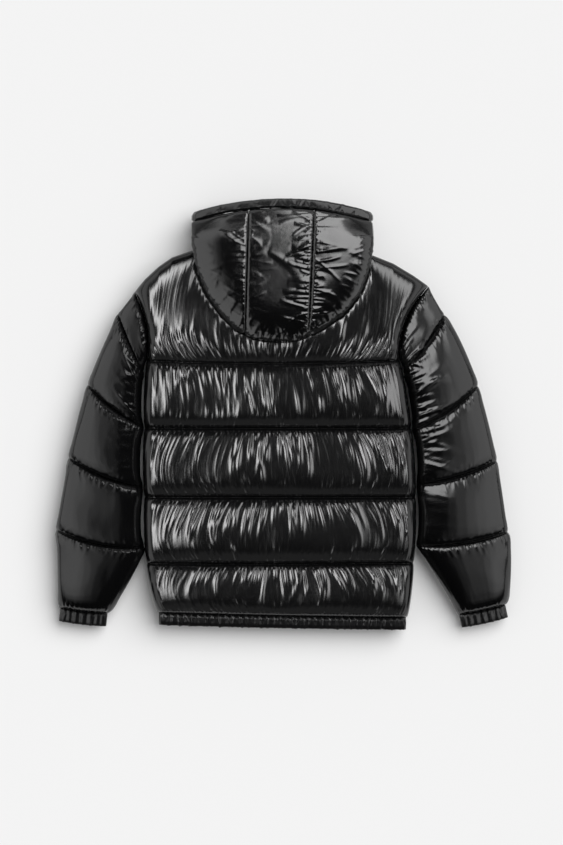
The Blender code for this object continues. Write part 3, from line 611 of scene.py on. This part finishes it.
layOut(backSkin, backPoints + broadWave[:, :, None] * upward, fineWave[:, :, None] * upward,
       backPinned, back)
print("back laid out", backPoints.shape)


# hood: copies of its panels with even faces, gathered at the seams

hoodCloth = {
    "voxel": 0.0022, "tension": 14.0, "bending": 0.01, "pressure": 0.3, "cap": 0.003,
    "startShare": 0.9, "restShare": 1.1,
    "slitAtNeck": 0.0678, "slitAtBrim": 0.0505, "lowering": (0.316, 0.05),
    "loft": 0.0345, "loftAtBrim": 0.011, "rounding": 0.07, "dip": 0.005,
    "dipWidth": 0.0065, "brimMiddle": 0.401, "brimHeight": 0.0184, "brimDrop": 0.0265,
    "brimHalf": 0.17, "edgeIn": 0.003, "edgeHeight": -0.0006,
    # what counts as the top: a share of the height there, and how far it faces up
    "topFrom": 0.2, "topFade": 0.35, "leastHeight": 0.004, "facing": (-0.1, 0.3),
    # where the cloth is sewn down or held, and where gathers fade in upwards
    "seamHalf": 0.0018, "heldBelow": 0.058, "heldPast": 0.376,
    "coarseFade": (0.056, 0.008), "fineFade": (0.06, 0.012),
    "seamLength": 0.27, "edgeMiddle": 0.3, "edgeRadius": 0.14, "edgeHalf": 0.44,
    "edgeTo": 0.33,
    # gathers at the seams, their share on each side, and gathers at the edge
    "coarse": ([pleats((12, 26), (30, 55), (3.4, 6), (0.6, 1.8), 0.25, (-6, -2))],
               {"left": 0.4, "right": 0.9},
               pleats((4, 10), (20, 55), (1.8, 3.4), (0.5, 1.3), 0.15, (-2, 4))),
    "fine": ([pleats((5, 12), (30, 80), (1.8, 3.4), (0.6, 1.8), 0.22, (-4, 4)),
              pleats((3, 7), (8, 22), (1.2, 2), (0.4, 1.1), 0.25, (-4, 0))],
             {"left": 0.35, "right": 1.0},
             pleats((4, 11), (25, 60), (1.8, 3.2), (0.4, 1.3), 0.3, (-12, -5))),
    # single creases: start, end, width and height
    "folds": [((-0.03, 0.3), (0.046, 0.235), 0.008, 0.0009),
              ((-0.12, 0.34), (-0.078, 0.3), 0.007, 0.001)],
    "foldBend": 0.08,
}


def hoodSeamX(side, y):
    share = (hood["seamFrom"] - y) / (hood["seamFrom"] - hood["seamTo"])
    return mix(hood["seams"][side][0], hood["seams"][side][1], share)


def hoodTop(x, y):
    # the slit between the layers and the cloth's height above it
    look = hoodCloth
    down = fadeIn(y, *look["lowering"])
    slit = mix(look["slitAtNeck"], look["slitAtBrim"], down)
    drop = look["brimDrop"] * np.minimum(1.0, np.abs(x - hood["centre"]) / look["brimHalf"]) ** 2
    fromBrim = look["brimMiddle"] - look["brimHeight"] - drop - y
    pastBrim = rounded(fromBrim, look["rounding"])
    nearest = np.minimum(np.abs(x - hoodSeamX("left", y)), np.abs(x - hoodSeamX("right", y)))
    dip = look["dip"] * (1.0 - rounded(nearest, look["dipWidth"])) * pastBrim
    full = mix(look["loftAtBrim"], look["loft"], pastBrim) - dip
    inside = np.maximum(insideHood(x, y), 0.0)
    edge = rounded(inside + look["edgeIn"], look["rounding"])
    return slit, mix(look["edgeHeight"], full, edge)


def foldWaves(points, folds):
    # single soft creases, each from one place to another
    wave = np.zeros(len(points))
    for start, end, wide, high in folds:
        step = np.array(end) - np.array(start)
        share = np.clip(((points[:, :2] - start) @ step) / (step @ step), 0.0, 1.0)
        off = points[:, :2] - start - share[:, None] * step
        turn = (step[0] * off[:, 1] - step[1] * off[:, 0]) / np.linalg.norm(step)
        bend = hoodCloth["foldBend"] * np.linalg.norm(step) * np.sin(np.pi * share)
        gap = np.hypot(turn - bend, np.linalg.norm(off, axis=1) * ((share == 0.0) | (share == 1.0)))
        wave += high * np.exp(-(gap / (wide * (0.5 + share))) ** 2) * pillow(share)
    return wave


def addHoodGathers(wave, x, y, sides, rng, atSeams, shares, atEdge):
    look = hoodCloth
    for side in sides:
        gap = np.abs(x - hoodSeamX(side, y))
        for one in atSeams:
            wave += shares[side] * gathers(y - hood["seamTo"], gap, look["seamLength"], rng, one)
    inside = np.maximum(insideHood(x, y), 0.0)
    turn = np.arctan2(y - look["edgeMiddle"], x - hood["centre"]) * look["edgeRadius"]
    wave += (y < look["edgeTo"]) * gathers(turn + look["edgeHalf"], inside,
                                           2.0 * look["edgeHalf"], rng, atEdge)


hoodPieces = {}
for node, name, sides in (("hood_centre", "hoodCentrePanel", ("left", "right")),
                          ("hood_left", "hoodLeftPanel", ("left",)),
                          ("hood_right", "hoodRightPanel", ("right",))):
    panel, points = evenCopy(node, name, hoodCloth["voxel"])
    x, y, z = points.T
    slit, height = hoodTop(x, y)
    onTop = fadeIn(z - slit, hoodCloth["topFrom"] * height,
                   hoodCloth["topFade"] * np.maximum(height, hoodCloth["leastHeight"]))
    onTop *= fadeIn(readNormals(panel)[:, 2], *hoodCloth["facing"])
    points[:, 2] = mix(z, slit + height, onTop)
    writePoints(panel, points)
    x, y, z = points.T
    rng = np.random.default_rng(len(name) + seeds["hood"])
    wave = foldWaves(points, hoodCloth["folds"])
    addHoodGathers(wave, x, y, sides, rng, *hoodCloth["coarse"])
    nearest = np.min([np.abs(x - hoodSeamX(side, y)) for side in sides], axis=0)
    pinned = nearest < hoodCloth["seamHalf"]
    pinned |= (z < hoodCloth["heldBelow"]) | (y > hoodCloth["heldPast"])
    wave = wave * ~pinned * fadeIn(z, *hoodCloth["coarseFade"])
    layOut(panel, points, readNormals(panel) * wave[:, None], pinned, hoodCloth)
    hoodPieces[node] = (panel, sides)
print("hood laid out")


# sleeves: each a tube of rings, from the armhole to the cuff

def seamLine(outer, innerY, sag, above, below, loft=0.0, bulgeOut=0.0, level=0.03, **more):
    # a seam round the sleeve: its ends in plan, its sag towards the cuff, the cloth above and
    # below its level, and the loft and the bulge of the baffle before it
    return dict(more, outer=outer, innerY=innerY, sag=sag, above=above, below=below, loft=loft,
                bulgeOut=bulgeOut, level=level)


sleeve = {
    "topColumns": 130, "underColumns": 8, "rowsPerBaffle": 13, "moreRows": 4,
    "width": 0.14, "slope": 0.0014, "armholeGap": 0.0008, "crownPower": 2.8, "topPower": 2.3,
    "talls": (0.07, 0.13, 0.13, 0.13, 0.13), "calm": {"left": 14, "right": 8},
    "tension": 12.0, "bending": 0.02, "pressure": 0.5, "cap": 0.005,
    "startShare": 0.8, "restShare": 1.1,
    "broad": (20, (0.05, 0.1), (0.03, 0.06)), "broadHeight": 0.001,
    # how wide the gathers fade at the sides and the seams, and where the cloth is calmed
    "coarseSides": 0.35, "fineSides": 0.4, "fineSeams": 0.25, "calmFade": (0.55, 0.35),
    "roundEnds": 0.6, "belowGain": 1.5, "underGain": 1.25,
    "fromTop": [
        pleats((5, 13), (12, 45), (2, 3.6), (0.6, 1.6), 0.2, (-4, 2)),
        pleats((3, 7), (10, 24), (1.4, 2.2), (1.2, 2.8), 0.2, (-5, -1))],
    "ticks": pleats((3.5, 7.5), (12, 34), (1.3, 2.2), (0.4, 1.2), 0.15, (-3, 1)),
    "fromBottom": pleats((4, 9), (6, 20), (1.4, 2.4), (0.5, 1.1), 0.2, (-2, 2)),
    "fromBody": pleats((5, 12), (45, 110), (2.2, 4), (1.2, 2.8), 0.2, (-2, 14)),
    "bodyLean": (0.3, 0.3),
    "bodyShare": {"left": [0.2, 0.6, 0.2, 0.0, 0.0], "right": [0.9, 1.4, 0.5, 0.15, 0.0]},
    "left": [
        seamLine((-0.2786, 0.2272), 0.098, 0.0, 0.006, 0.006),
        seamLine((-0.3104, 0.1861), 0.0739, 0.003, 0.017, 0.02, 0.026, 0.001),
        seamLine((-0.3665, 0.0533), -0.0252, 0.0075, 0.022, 0.02, 0.037, 0.005),
        seamLine((-0.4021, -0.0832), -0.1374, 0.0095, 0.022, 0.02, 0.038, 0.006),
        seamLine((-0.4252, -0.2179), -0.2496, 0.012, 0.022, 0.02, 0.038, 0.005),
        seamLine((-0.4198, -0.3637), -0.374, 0.002, 0.01, 0.01, 0.039, 0.006, 0.021,
                 innerX=-0.3291, bulgeIn=0.012),
    ],
    "right": [
        seamLine((0.2693, 0.2375), 0.099, 0.0, 0.006, 0.006),
        seamLine((0.2992, 0.1842), 0.0757, 0.003, 0.017, 0.02, 0.026, 0.002),
        seamLine((0.3618, 0.0514), -0.0327, 0.007, 0.022, 0.02, 0.037, 0.009),
        seamLine((0.3974, -0.0888), -0.1318, 0.008, 0.022, 0.02, 0.038, 0.005),
        seamLine((0.4179, -0.2216), -0.2468, 0.008, 0.022, 0.02, 0.038, 0.004),
        seamLine((0.4151, -0.3572), -0.3768, 0.002, 0.01, 0.01, 0.039, 0.012, 0.021,
                 innerX=0.3263, bulgeIn=0.001),
    ],
}


def bodySide(side, y):
    # the body's side, past the sleeve
    lines = body["quiltLines"]
    for lower, upper in zip(lines, lines[1:]):
        if y <= upper[side][1] or upper is lines[-1]:
            share = (y - lower[side][1]) / (upper[side][1] - lower[side][1])
            return sideX(side, lower, upper, min(max(share, 0.0), 1.0))


def sleeveInner(side, seam):
    if "innerX" in seam:
        return np.array([seam["innerX"], seam["innerY"]])
    x = bodySide(side, seam["innerY"]) + signOf(side) * sleeve["slope"]
    return np.array([x, seam["innerY"]])


def sleevePlan(side, number, share, across):
    # places in plan, across from the outer edge at 0 to the inner edge at 1
    sign = signOf(side)
    upper, lower = sleeve[side][number], sleeve[side][number + 1]
    if number == 0 and share == 0.0:
        places = np.array([armholePlace(side, value) for value in across])
        return places + np.array([sign * sleeve["armholeGap"], 0.0])
    along = np.array(lower["outer"]) - np.array(upper["outer"])
    along /= np.linalg.norm(along)
    start = mix(np.array(upper["outer"]), np.array(lower["outer"]), share)
    start = start + np.array([-along[1], along[0]]) * sign * lower["bulgeOut"] * pillow(share)
    end = mix(sleeveInner(side, upper), sleeveInner(side, lower), share)
    if "innerX" in lower:
        end = end - np.array([sign, 0.0]) * lower["bulgeIn"] * pillow(share)
    else:
        end[0] = bodySide(side, end[1]) + sign * sleeve["slope"]
    chord = end - start
    towardsCuff = np.array([-chord[1], chord[0]]) / np.linalg.norm(chord) * sign
    sag = mix(upper["sag"], lower["sag"], share)
    if number == 0:
        sag = mix(-body["armholeSag"][side] * (1.0 - share), lower["sag"], share)
    across = across[:, None]
    return start + chord * across + towardsCuff * sag * 4.0 * across * (1.0 - across)


def sleeveRing(side, number, share):
    upper, lower = sleeve[side][number], sleeve[side][number + 1]
    level = mix(upper["level"], lower["level"], share)
    above = mix(upper["above"], lower["above"], share)
    below = mix(upper["below"], lower["below"], share)
    above += (lower["loft"] - above) * fuller(share, sleeve["crownPower"])
    below += (level - below) * min(1.0, sleeve["belowGain"] * pillow(share))
    even = np.linspace(0.0, 1.0, sleeve["topColumns"])
    overTop = mix(even, 0.5 - 0.5 * np.cos(np.pi * even), sleeve["roundEnds"])
    under = np.linspace(0.0, 0.5, sleeve["underColumns"] + 1)[1:]
    across = np.concatenate([under[::-1], overTop, 1.0 - under])
    rise = np.minimum(1.0, sleeve["underGain"] * pillow(across))
    z = level + above * fuller(across, sleeve["topPower"])
    beneath = np.ones(len(across), dtype=bool)
    beneath[len(under):len(under) + len(overTop)] = False
    z[beneath] = (level - below * rise)[beneath]
    plan = sleevePlan(side, number, share, across)
    return np.column_stack([plan, z]), across, beneath


def sleeveBaffles(side, numbers, shares, seed):
    # each baffle's height, its rows, how far down they lie, and its own random draws
    seed += seeds["rightSleeve"] if side == "right" else 0
    for number, tall in enumerate(sleeve["talls"]):
        rows = numbers == number
        down = (shares[rows] * tall)[:, None]
        yield number, tall, rows, down, np.random.default_rng(seed + number)


def sleeveNormals(points):
    # turned so that those on top point up
    normals = gridNormals(points)
    return normals * np.sign(normals[len(points) // 2, points.shape[1] // 2, 2])


sleeveSkins = {}
for side in ("left", "right"):
    rows = [(number, share) for number in range(len(sleeve["talls"]))
            for share in nearEnds(sleeve["rowsPerBaffle"])[:-1]]
    rows.append((len(sleeve["talls"]) - 1, 1.0))
    rings = [sleeveRing(side, number, share) for number, share in rows]
    points = np.array([ring for ring, _, _ in rings])
    across, beneath = rings[0][1:]
    numbers, shares = np.array(rows).T
    wave = np.zeros(points.shape[:2])
    along = (across * sleeve["width"])[None, :]
    for number, tall, chosen, down, rng in sleeveBaffles(side, numbers, shares, seeds["sleeve"]):
        for look in sleeve["fromTop"]:
            wave[chosen] += gathers(along, down, sleeve["width"], rng, look)
        broad = sleeve["broadHeight"] * patches(along, down, rng, *sleeve["broad"])
        wave[chosen] += broad * pillow(shares[chosen])[:, None]
    pinned = np.zeros(wave.shape, dtype=bool)
    pinned[shares == 0.0] = pinned[-1] = pinned[:, beneath] = True
    wave *= ~pinned * smooth(pillow(across) / sleeve["coarseSides"])[None, :]
    skin = gridOf("sleeveSkin" + side, points)
    layOut(skin, points, sleeveNormals(points) * wave[:, :, None], pinned, sleeve)
    sleeveSkins[side] = (skin, points.shape, rows, across, beneath)
print("sleeves laid out")

runRelaxing(relaxFrames)
print("cloth relaxed")


# back, finished: more rows along the puckers, then closed underneath

def moreRows(points, factor):
    rows = len(points)
    fine = np.linspace(0.0, rows - 1.0, (rows - 1) * factor + 1)
    base = np.minimum(fine.astype(int), rows - 2)
    share = (fine - base)[:, None, None]
    before = points[np.maximum(base - 1, 0)]
    here, there = points[base], points[base + 1]
    beyond = points[np.minimum(base + 2, rows - 1)]
    return 0.5 * (2.0 * here + (there - before) * share
                  + (2.0 * before - 5.0 * here + 4.0 * there - beyond) * share ** 2
                  + (3.0 * here - before - 3.0 * there + beyond) * share ** 3)


def evened(points):
    even = points.copy()
    even[1:-1] = 0.25 * points[:-2] + 0.5 * points[1:-1] + 0.25 * points[2:]
    return even


def alongRows(points, rows):
    # evens out what one row does against its neighbours, not at the seams
    seams = np.array([share in (0.0, 1.0) for _, share in rows])[:, None, None]
    return np.where(seams, points, evened(points))


def calmAcross(points, rows, times):
    # evens out the sleeves' cloth between the seams
    calm = np.array([[[fadeIn(pillow(share), *sleeve["calmFade"])]] for _, share in rows])
    for _ in range(times):
        points = mix(points, evened(points.swapaxes(0, 1)).swapaxes(0, 1), calm)
    return points


def sectionsOf(rows):
    # each baffle's first and last row, and whether it is the last baffle
    cuts = [index for index, (_, share) in enumerate(rows) if share == 0.0] + [len(rows) - 1]
    return [(start, end, end == cuts[-1]) for start, end in zip(cuts, cuts[1:])]


def bySections(points, rows, factor):
    # each baffle by itself, so the seams stay sharp
    parts = []
    for start, end, isLast in sectionsOf(rows):
        part = moreRows(points[start:end + 1], factor)
        parts.append(part if isLast else part[:-1])
    return np.concatenate(parts)


def finerRows(rows, factor):
    # the baffle and the share of each row that bySections makes
    fine = []
    for start, end, isLast in sectionsOf(rows):
        shares = [share for _, share in rows[start:end]] + [1.0]
        steps = np.linspace(0.0, end - start, (end - start) * factor + 1)
        values = np.interp(steps, np.arange(end - start + 1), shares)
        fine += [(rows[start][0], value) for value in (values if isLast else values[:-1])]
    return np.array(fine).T


relaxed = alongRows(readPoints(backSkin).reshape(backPoints.shape), backRows)
bpy.data.objects.remove(backSkin, do_unlink=True)
backFine = bySections(relaxed, backRows, back["moreRows"])
numbers, shares = finerRows(backRows, back["moreRows"])
rows = numbers == yokeNumber
rise = shares[rows][:, None] * back["yokeHeight"]
for seed, (side, strength) in enumerate(back["armholes"].items(), seeds["armhole"]):
    fromSide = (straight if side == "left" else 1.0 - straight)[None, :] * back["width"]
    rng = np.random.default_rng(seed)
    wave = gathers(rise, fromSide, back["yokeHeight"], rng, back["fromArmhole"])
    wave *= strength * (rise < back["armholeTo"])
    wave[0] = wave[-1] = 0.0
    wave[:, 0] = wave[:, -1] = 0.0
    backFine[rows, :, 2] += wave
backPanel = gridOf("backPanel", backFine)
closeGrid(backPanel, body["layer"] + back["underLift"])
finishPiece(backPanel, nylon, "back", fill=0.8)
print("back finished")


# hood, finished

for node, (panel, sides) in hoodPieces.items():
    setAll(panel.modifiers.new("finer", "SUBSURF"), levels=1, render_levels=1)
    applyAll(panel)
    points = readPoints(panel)
    x, y, z = points.T
    rng = np.random.default_rng(len(node) + seeds["hoodFine"])
    wave = np.zeros(len(points))
    addHoodGathers(wave, x, y, sides, rng, *hoodCloth["fine"])
    wave *= fadeIn(z, *hoodCloth["fineFade"])
    pushOut(panel, points, wave)
    finishPiece(panel, nylon, node, fill=0.7, group="hood")

brimCloth = {"voxel": 0.0018, "broad": (30, (0.03, 0.09), (0.008, 0.02)),
             "broadHeight": 0.0006, "start": (-0.18, 0.36), "length": 0.36,
             "fade": (0.03, 0.02),
             "gathers": pleats((6, 16), (80, 140), (1.8, 3.2), (0.2, 0.7), 0.4, (-40, -20))}
brim, points = evenCopy("hood_brim", "hoodBrim", brimCloth["voxel"])
x, y, z = points.T
rng = np.random.default_rng(seeds["brim"])
wave = brimCloth["broadHeight"] * patches(x, y, rng, *brimCloth["broad"])
wave += gathers(x - brimCloth["start"][0], y - brimCloth["start"][1], brimCloth["length"], rng,
                brimCloth["gathers"])
wave *= fadeIn(z, *brimCloth["fade"])
pushOut(brim, points, wave)
finishPiece(brim, nylon, "hood_brim", fill=0.6, group="brim")
print("hood finished")


# sleeves, finished: closed into tubes

for side, (skin, shape, rows, across, beneath) in sleeveSkins.items():
    relaxed = alongRows(readPoints(skin).reshape(shape), rows)
    relaxed = calmAcross(relaxed, rows, sleeve["calm"][side])
    bpy.data.objects.remove(skin, do_unlink=True)
    points = bySections(relaxed, rows, sleeve["moreRows"])
    numbers, shares = finerRows(rows, sleeve["moreRows"])
    wave = np.zeros(points.shape[:2])
    wide = sleeve["width"]
    along = (across * wide)[None, :]
    for number, tall, chosen, down, rng in sleeveBaffles(side, numbers, shares,
                                                         seeds["sleeveFine"]):
        wave[chosen] += gathers(along, tall - down, wide, rng, sleeve["fromBottom"])
        wave[chosen] += gathers(along, down, wide, rng, sleeve["ticks"])
        wave[chosen] += sleeve["bodyShare"][side][number] * gathers(
            down, wide - along, tall, rng, sleeve["fromBody"], sleeve["bodyLean"])
    wave[:, beneath] = 0.0
    wave[0] = wave[-1] = 0.0
    wave *= smooth(pillow(across) / sleeve["fineSides"])[None, :]
    wave *= smooth(pillow(shares) / sleeve["fineSeams"])[:, None]
    name = "sleeve" + side.capitalize()
    tube = gridOf(name, points + sleeveNormals(points) * wave[:, :, None])
    closeTube(tube)
    finishPiece(tube, nylon, "sleeve_" + side, fill=0.8, group=name)
print("sleeves finished")


# plain copies for what lies underneath, and the bands

for kind, finish, slot, fill in (("front", nylon, "nylon", 0.7), ("collar", nylon, "nylon", 0.7),
                                 ("hem", elastic, "elastic", 0.5)):
    for side in ("left", "right"):
        node = kind + "_" + side
        finishPiece(copyNode(node, kind + side.capitalize()), finish, node, slot, fill)

bands = {"voxel": 0.0013, "length": 0.5, "joinX": 0.183, "joinDeep": 0.0022, "joinWide": 0.0014,
         "fadeHeight": 0.006,
         "gathers": [
             pleats((2.6, 6), (80, 140), (1, 1.6), (0.6, 1.5), 0.16, (-50, -30)),
             pleats((3, 8), (12, 30), (0.9, 1.4), (0.3, 0.9), 0.2, (-6, 6))]}
for node, name, group, start, top, low in (
        ("cuff_left", "cuffLeft", "sleeveLeft", -0.43, -0.36, 0.024),
        ("cuff_right", "cuffRight", "sleeveRight", 0.32, -0.36, 0.024),
        ("hem_back", "hemBack", "hem", -0.24, -0.378, 0.034)):
    band, points = evenCopy(node, name, bands["voxel"])
    x, y, z = points.T
    rng = np.random.default_rng(len(node) + seeds["band"])
    wave = np.zeros(len(points))
    for look in bands["gathers"]:
        wave += gathers(x - start, top - y, bands["length"], rng, look)
    if group == "hem":
        # the join at one end
        wave -= bands["joinDeep"] * np.exp(-((x - bands["joinX"]) / bands["joinWide"]) ** 2)
    wave *= fadeIn(z, low, bands["fadeHeight"])
    pushOut(band, points, wave)
    finishPiece(band, elastic, node, "elastic", 0.5, group=group)
zipStrip = copyNode("zip", "zipStrip")
zipPoints = readPoints(zipStrip)
finishPiece(zipStrip, teethPlastic, "zip", "zip_teeth")
print("underside and bands finished")


# stitches: a thread that comes up and goes down along each quilted seam

# stations are the places along a stitch, and those in aboveFrom to aboveTo lie on the cloth
stitch = {"pitch": 0.0036, "thick": 0.00035, "above": 0.0003, "below": 0.0009,
          "stations": (0.0, 0.1, 0.22, 0.48, 0.6, 0.7), "aboveFrom": 0.12, "aboveTo": 0.58,
          "points": 6, "ends": {"back": 6, "sleeve": 8}}


def threadAlong(name, path, up):
    # one tube of thread along a path, up and down through the cloth
    steps = np.linalg.norm(np.diff(path, axis=0), axis=1)
    length = np.concatenate([[0.0], np.cumsum(steps)])
    count = int(length[-1] / stitch["pitch"])
    stations = np.array(stitch["stations"])
    places = (np.arange(count)[:, None] + stations).reshape(-1) * stitch["pitch"]
    onCloth = (stations > stitch["aboveFrom"]) & (stations < stitch["aboveTo"])
    levels = np.tile(np.where(onCloth, stitch["above"], -stitch["below"]), count)
    line = np.column_stack([np.interp(places, length, path[:, axis]) for axis in range(3)])
    line += levels[:, None] * up
    along = np.gradient(line, axis=0)
    along /= np.linalg.norm(along, axis=1, keepdims=True)
    side = np.cross(along, up)
    side /= np.linalg.norm(side, axis=1, keepdims=True)
    top = np.cross(side, along)
    turns = 2.0 * np.pi * np.arange(stitch["points"] + 1) / stitch["points"]
    turns = turns[None, :, None]
    ring = np.cos(turns) * side[:, None] + np.sin(turns) * top[:, None]
    tube = gridOf(name, line[:, None] + stitch["thick"] * ring)
    closeTube(tube)
    return tube


def joinAs(name, things):
    bpy.ops.object.select_all(action="DESELECT")
    for thing in things:
        thing.select_set(True)
    bpy.context.view_layer.objects.active = things[0]
    bpy.ops.object.join()
    things[0].name = name
    return things[0]


def stitchesOn(name, seams, end, group):
    # one thread on each seam, short of its ends
    threads = [threadAlong("thread", seam[end:-end], upward) for seam in seams]
    finishPiece(joinAs(name, threads), thread, group=group)


stitchesOn("backStitches", [backPoints[index] for index, (number, share) in enumerate(backRows)
                            if share == 0.0 and number > 0], stitch["ends"]["back"], "body")
for side in ("left", "right"):
    name = "sleeve" + side.capitalize()
    seams = []
    for number in range(1, len(sleeve["talls"])):
        ring, _, beneath = sleeveRing(side, number, 0.0)
        seams.append(ring[~beneath])
    stitchesOn(name + "Stitches", seams, stitch["ends"]["sleeve"], name)

teeth = {"pitch": 0.003, "size": (0.0034, 0.0014, 0.0016), "offset": 0.0011, "ends": 0.004,
         "sunk": 0.4}
low, high = zipPoints.min(axis=0), zipPoints.max(axis=0)
rows = []
for sign in (-1.0, 1.0):
    start = low[1] + teeth["ends"] + (0.5 * teeth["pitch"] if sign > 0.0 else 0.0)
    place = [body["centre"] + sign * teeth["offset"], start,
             low[2] - teeth["sunk"] * teeth["size"][2]]
    bpy.ops.mesh.primitive_cube_add(size=1.0)
    row = bpy.context.object
    writePoints(row, readPoints(row) * np.array(teeth["size"]) + np.array(place))
    setAll(row.modifiers.new("many", "ARRAY"), use_relative_offset=False,
           use_constant_offset=True, constant_offset_displace=(0.0, teeth["pitch"], 0.0),
           count=int((high[1] - start - teeth["ends"]) / teeth["pitch"]))
    applyAll(row)
    rows.append(row)
finishPiece(joinAs("zipTeeth", rows), teethPlastic, slot="zip_teeth")
print("stitches and teeth finished")


# floor, light and camera

studio = {
    "floor": (0.86, 0.86, 0.86, 1.0), "floorSize": 12.0, "floorLevel": -0.0003, "fill": 0.36,
    "sun": {"turn": 40.0, "down": 38.0, "wide": 60.0, "power": 2.75},
    # the panels' group, their ranges in x and y, their height, the width of their soft edges,
    # how many steps those have, and their glow
    "panels": [
        ("bodyLeftStrip", "body", (-1.42, -0.46), (-1.3, 2.6), 2.9, (0.3, 0.7), (3, 2), 15.0),
        ("bodyRightStrip", "body", (0.5, 1.7), (-1.2, 5.2), 2.9, (0.3, 0.7), (3, 2), 6.8),
        ("bodyLeftWall", "body", (-30.0, -1.9), (-20.0, 20.0), 2.8, (1.2, 1.0), (2, 0), 1.2),
        ("bodyRightWall", "body", (2.2, 30.0), (-20.0, 20.0), 2.8, (1.2, 1.0), (2, 0), 1.4),
        ("bodyLowWall", "body", (-2.0, 2.0), (-14.0, -1.6), 2.86, (0.5, 0.6), (2, 2), 0.26),
        ("sleeveLeftWall", "sleeveLeft", (-14.0, 0.0), (-1.6, 14.0), 1.2,
         (1.1, 1.1), (4, 3), 1.5),
        ("sleeveLeftTop", "sleeveLeft", (0.02, 3.0), (0.7, 14.0), 1.2, (0.8, 0.6), (2, 2), 0.4),
        ("sleeveLeftStrip", "sleeveLeft", (0.04, 1.6), (0.26, 0.69), 1.2,
         (0.1, 0.08), (1, 1), 3.6),
        ("sleeveRightWall", "sleeveRight", (0.02, 14.0), (-1.6, 14.0), 1.2,
         (1.1, 1.1), (4, 3), 1.6),
        ("sleeveRightTop", "sleeveRight", (0.6, 1.35), (0.4, 14.0), 1.24,
         (0.2, 0.4), (2, 2), 2.6),
        ("sleeveRightStrip", "sleeveRight", (-2.6, 0.28), (0.02, 1.1), 1.18,
         (0.3, 0.1), (3, 1), 6.0),
        ("hoodLeftWall", "hood", (-14.0, -0.4), (-9.0, 9.0), 1.2, (0.45, 2.0), (3, 0), 1.8),
        ("hoodRightSoft", "hood", (0.022, 1.2), (0.215, 14.0), 1.2, (0.02, 0.12), (1, 1), 7.5),
        ("hoodRightWall", "hood", (1.24, 14.0), (-9.0, 9.0), 1.2, (0.5, 2.0), (2, 0), 1.8),
        ("hemStrip", "hem", (-2.0, -0.25), (-0.2, 14.0), 1.2, (0.3, 0.2), (1, 1), 7.0),
        ("hemWall", "hem", (0.3, 14.0), (-0.2, 14.0), 1.2, (0.3, 0.2), (1, 1), 2.0),
        ("brimLeftWall", "brim", (-14.0, -0.06), (-9.0, 9.0), 1.2, (0.1, 2.0), (2, 0), 1.6),
        ("brimRightWall", "brim", (0.04, 14.0), (-9.0, 9.0), 1.2, (0.08, 2.0), (2, 0), 2.6),
    ],
    # past this, a panel's edge isn't seen and stays hard
    "softWithin": 5.0,
    "camera": (-0.0047, -0.0168, 8.03), "aimLevel": 0.03, "viewHeight": 1.58, "sensor": 36.0,
    "clipEnd": 50.0,
}

bpy.ops.mesh.primitive_plane_add(size=studio["floorSize"],
                                 location=(0.0, 0.0, studio["floorLevel"]))
floor = bpy.context.object
floor.name = "floor"
floor.data.materials.append(Board("palePaper").feed(
    Base_Color=studio["floor"], Roughness=1.0, Specular_IOR_Level=0.0))

world = bpy.data.worlds.new("paleRoom")
bpy.context.scene.world = world
world.use_nodes = True
room = world.node_tree.nodes["Background"]
room.inputs["Color"].default_value = (1.0, 1.0, 1.0, 1.0)
room.inputs["Strength"].default_value = studio["fill"]
world.cycles_visibility.glossy = False


def addThing(name, data):
    thing = bpy.data.objects.new(name, data)
    bpy.context.scene.collection.objects.link(thing)
    return thing


sun = addThing("softSun", setAll(bpy.data.lights.new("softSun", "SUN"),
                                 angle=math.radians(studio["sun"]["wide"]),
                                 energy=studio["sun"]["power"]))
turn, down = math.radians(studio["sun"]["turn"]), math.radians(studio["sun"]["down"])
way = Vector((math.sin(down) * math.cos(turn), math.sin(down) * math.sin(turn), math.cos(down)))
sun.rotation_euler = way.to_track_quat("Z", "Y").to_euler()
sun.visible_glossy = False


def softCells(low, high, soft, count):
    # parts of a range and the share of full light in each, fading at its near ends
    fade = [(soft * step / count, soft * (step + 1) / count, (step + 0.5) / count)
            for step in range(count)]
    cells = []
    if count and abs(low) < studio["softWithin"]:
        cells += [(low + start, low + end, share) for start, end, share in fade]
        low += soft
    if count and abs(high) < studio["softWithin"]:
        cells += [(high - end, high - start, share) for start, end, share in fade]
        high -= soft
    return cells + [(low, high, 1.0)]


for name, group, inX, inY, level, soft, count, glow in studio["panels"]:
    # seen only as a reflection in the cloth
    for x0, x1, shareX in softCells(*inX, soft[0], count[0]):
        for y0, y1, shareY in softCells(*inY, soft[1], count[1]):
            light = setAll(bpy.data.lights.new(name, "AREA"), shape="RECTANGLE",
                           size=x1 - x0, size_y=y1 - y0)
            light.energy = glow * shareX * shareY * math.pi * light.size * light.size_y
            lamp = setAll(addThing(name, light), visible_diffuse=False, visible_camera=False,
                          location=(0.5 * (x0 + x1), 0.5 * (y0 + y1), level))
            lamp.light_linking.receiver_collection = lightGroups[group]

lens = studio["sensor"] * (studio["camera"][2] - studio["aimLevel"]) / studio["viewHeight"]
camera = addThing("overhead", setAll(
    bpy.data.cameras.new("overhead"), sensor_fit="VERTICAL", sensor_height=studio["sensor"],
    lens=lens, clip_end=studio["clipEnd"]))
camera.location = studio["camera"]
bpy.context.scene.camera = camera
bpy.context.scene.view_settings.view_transform = "Standard"
print("studio made")
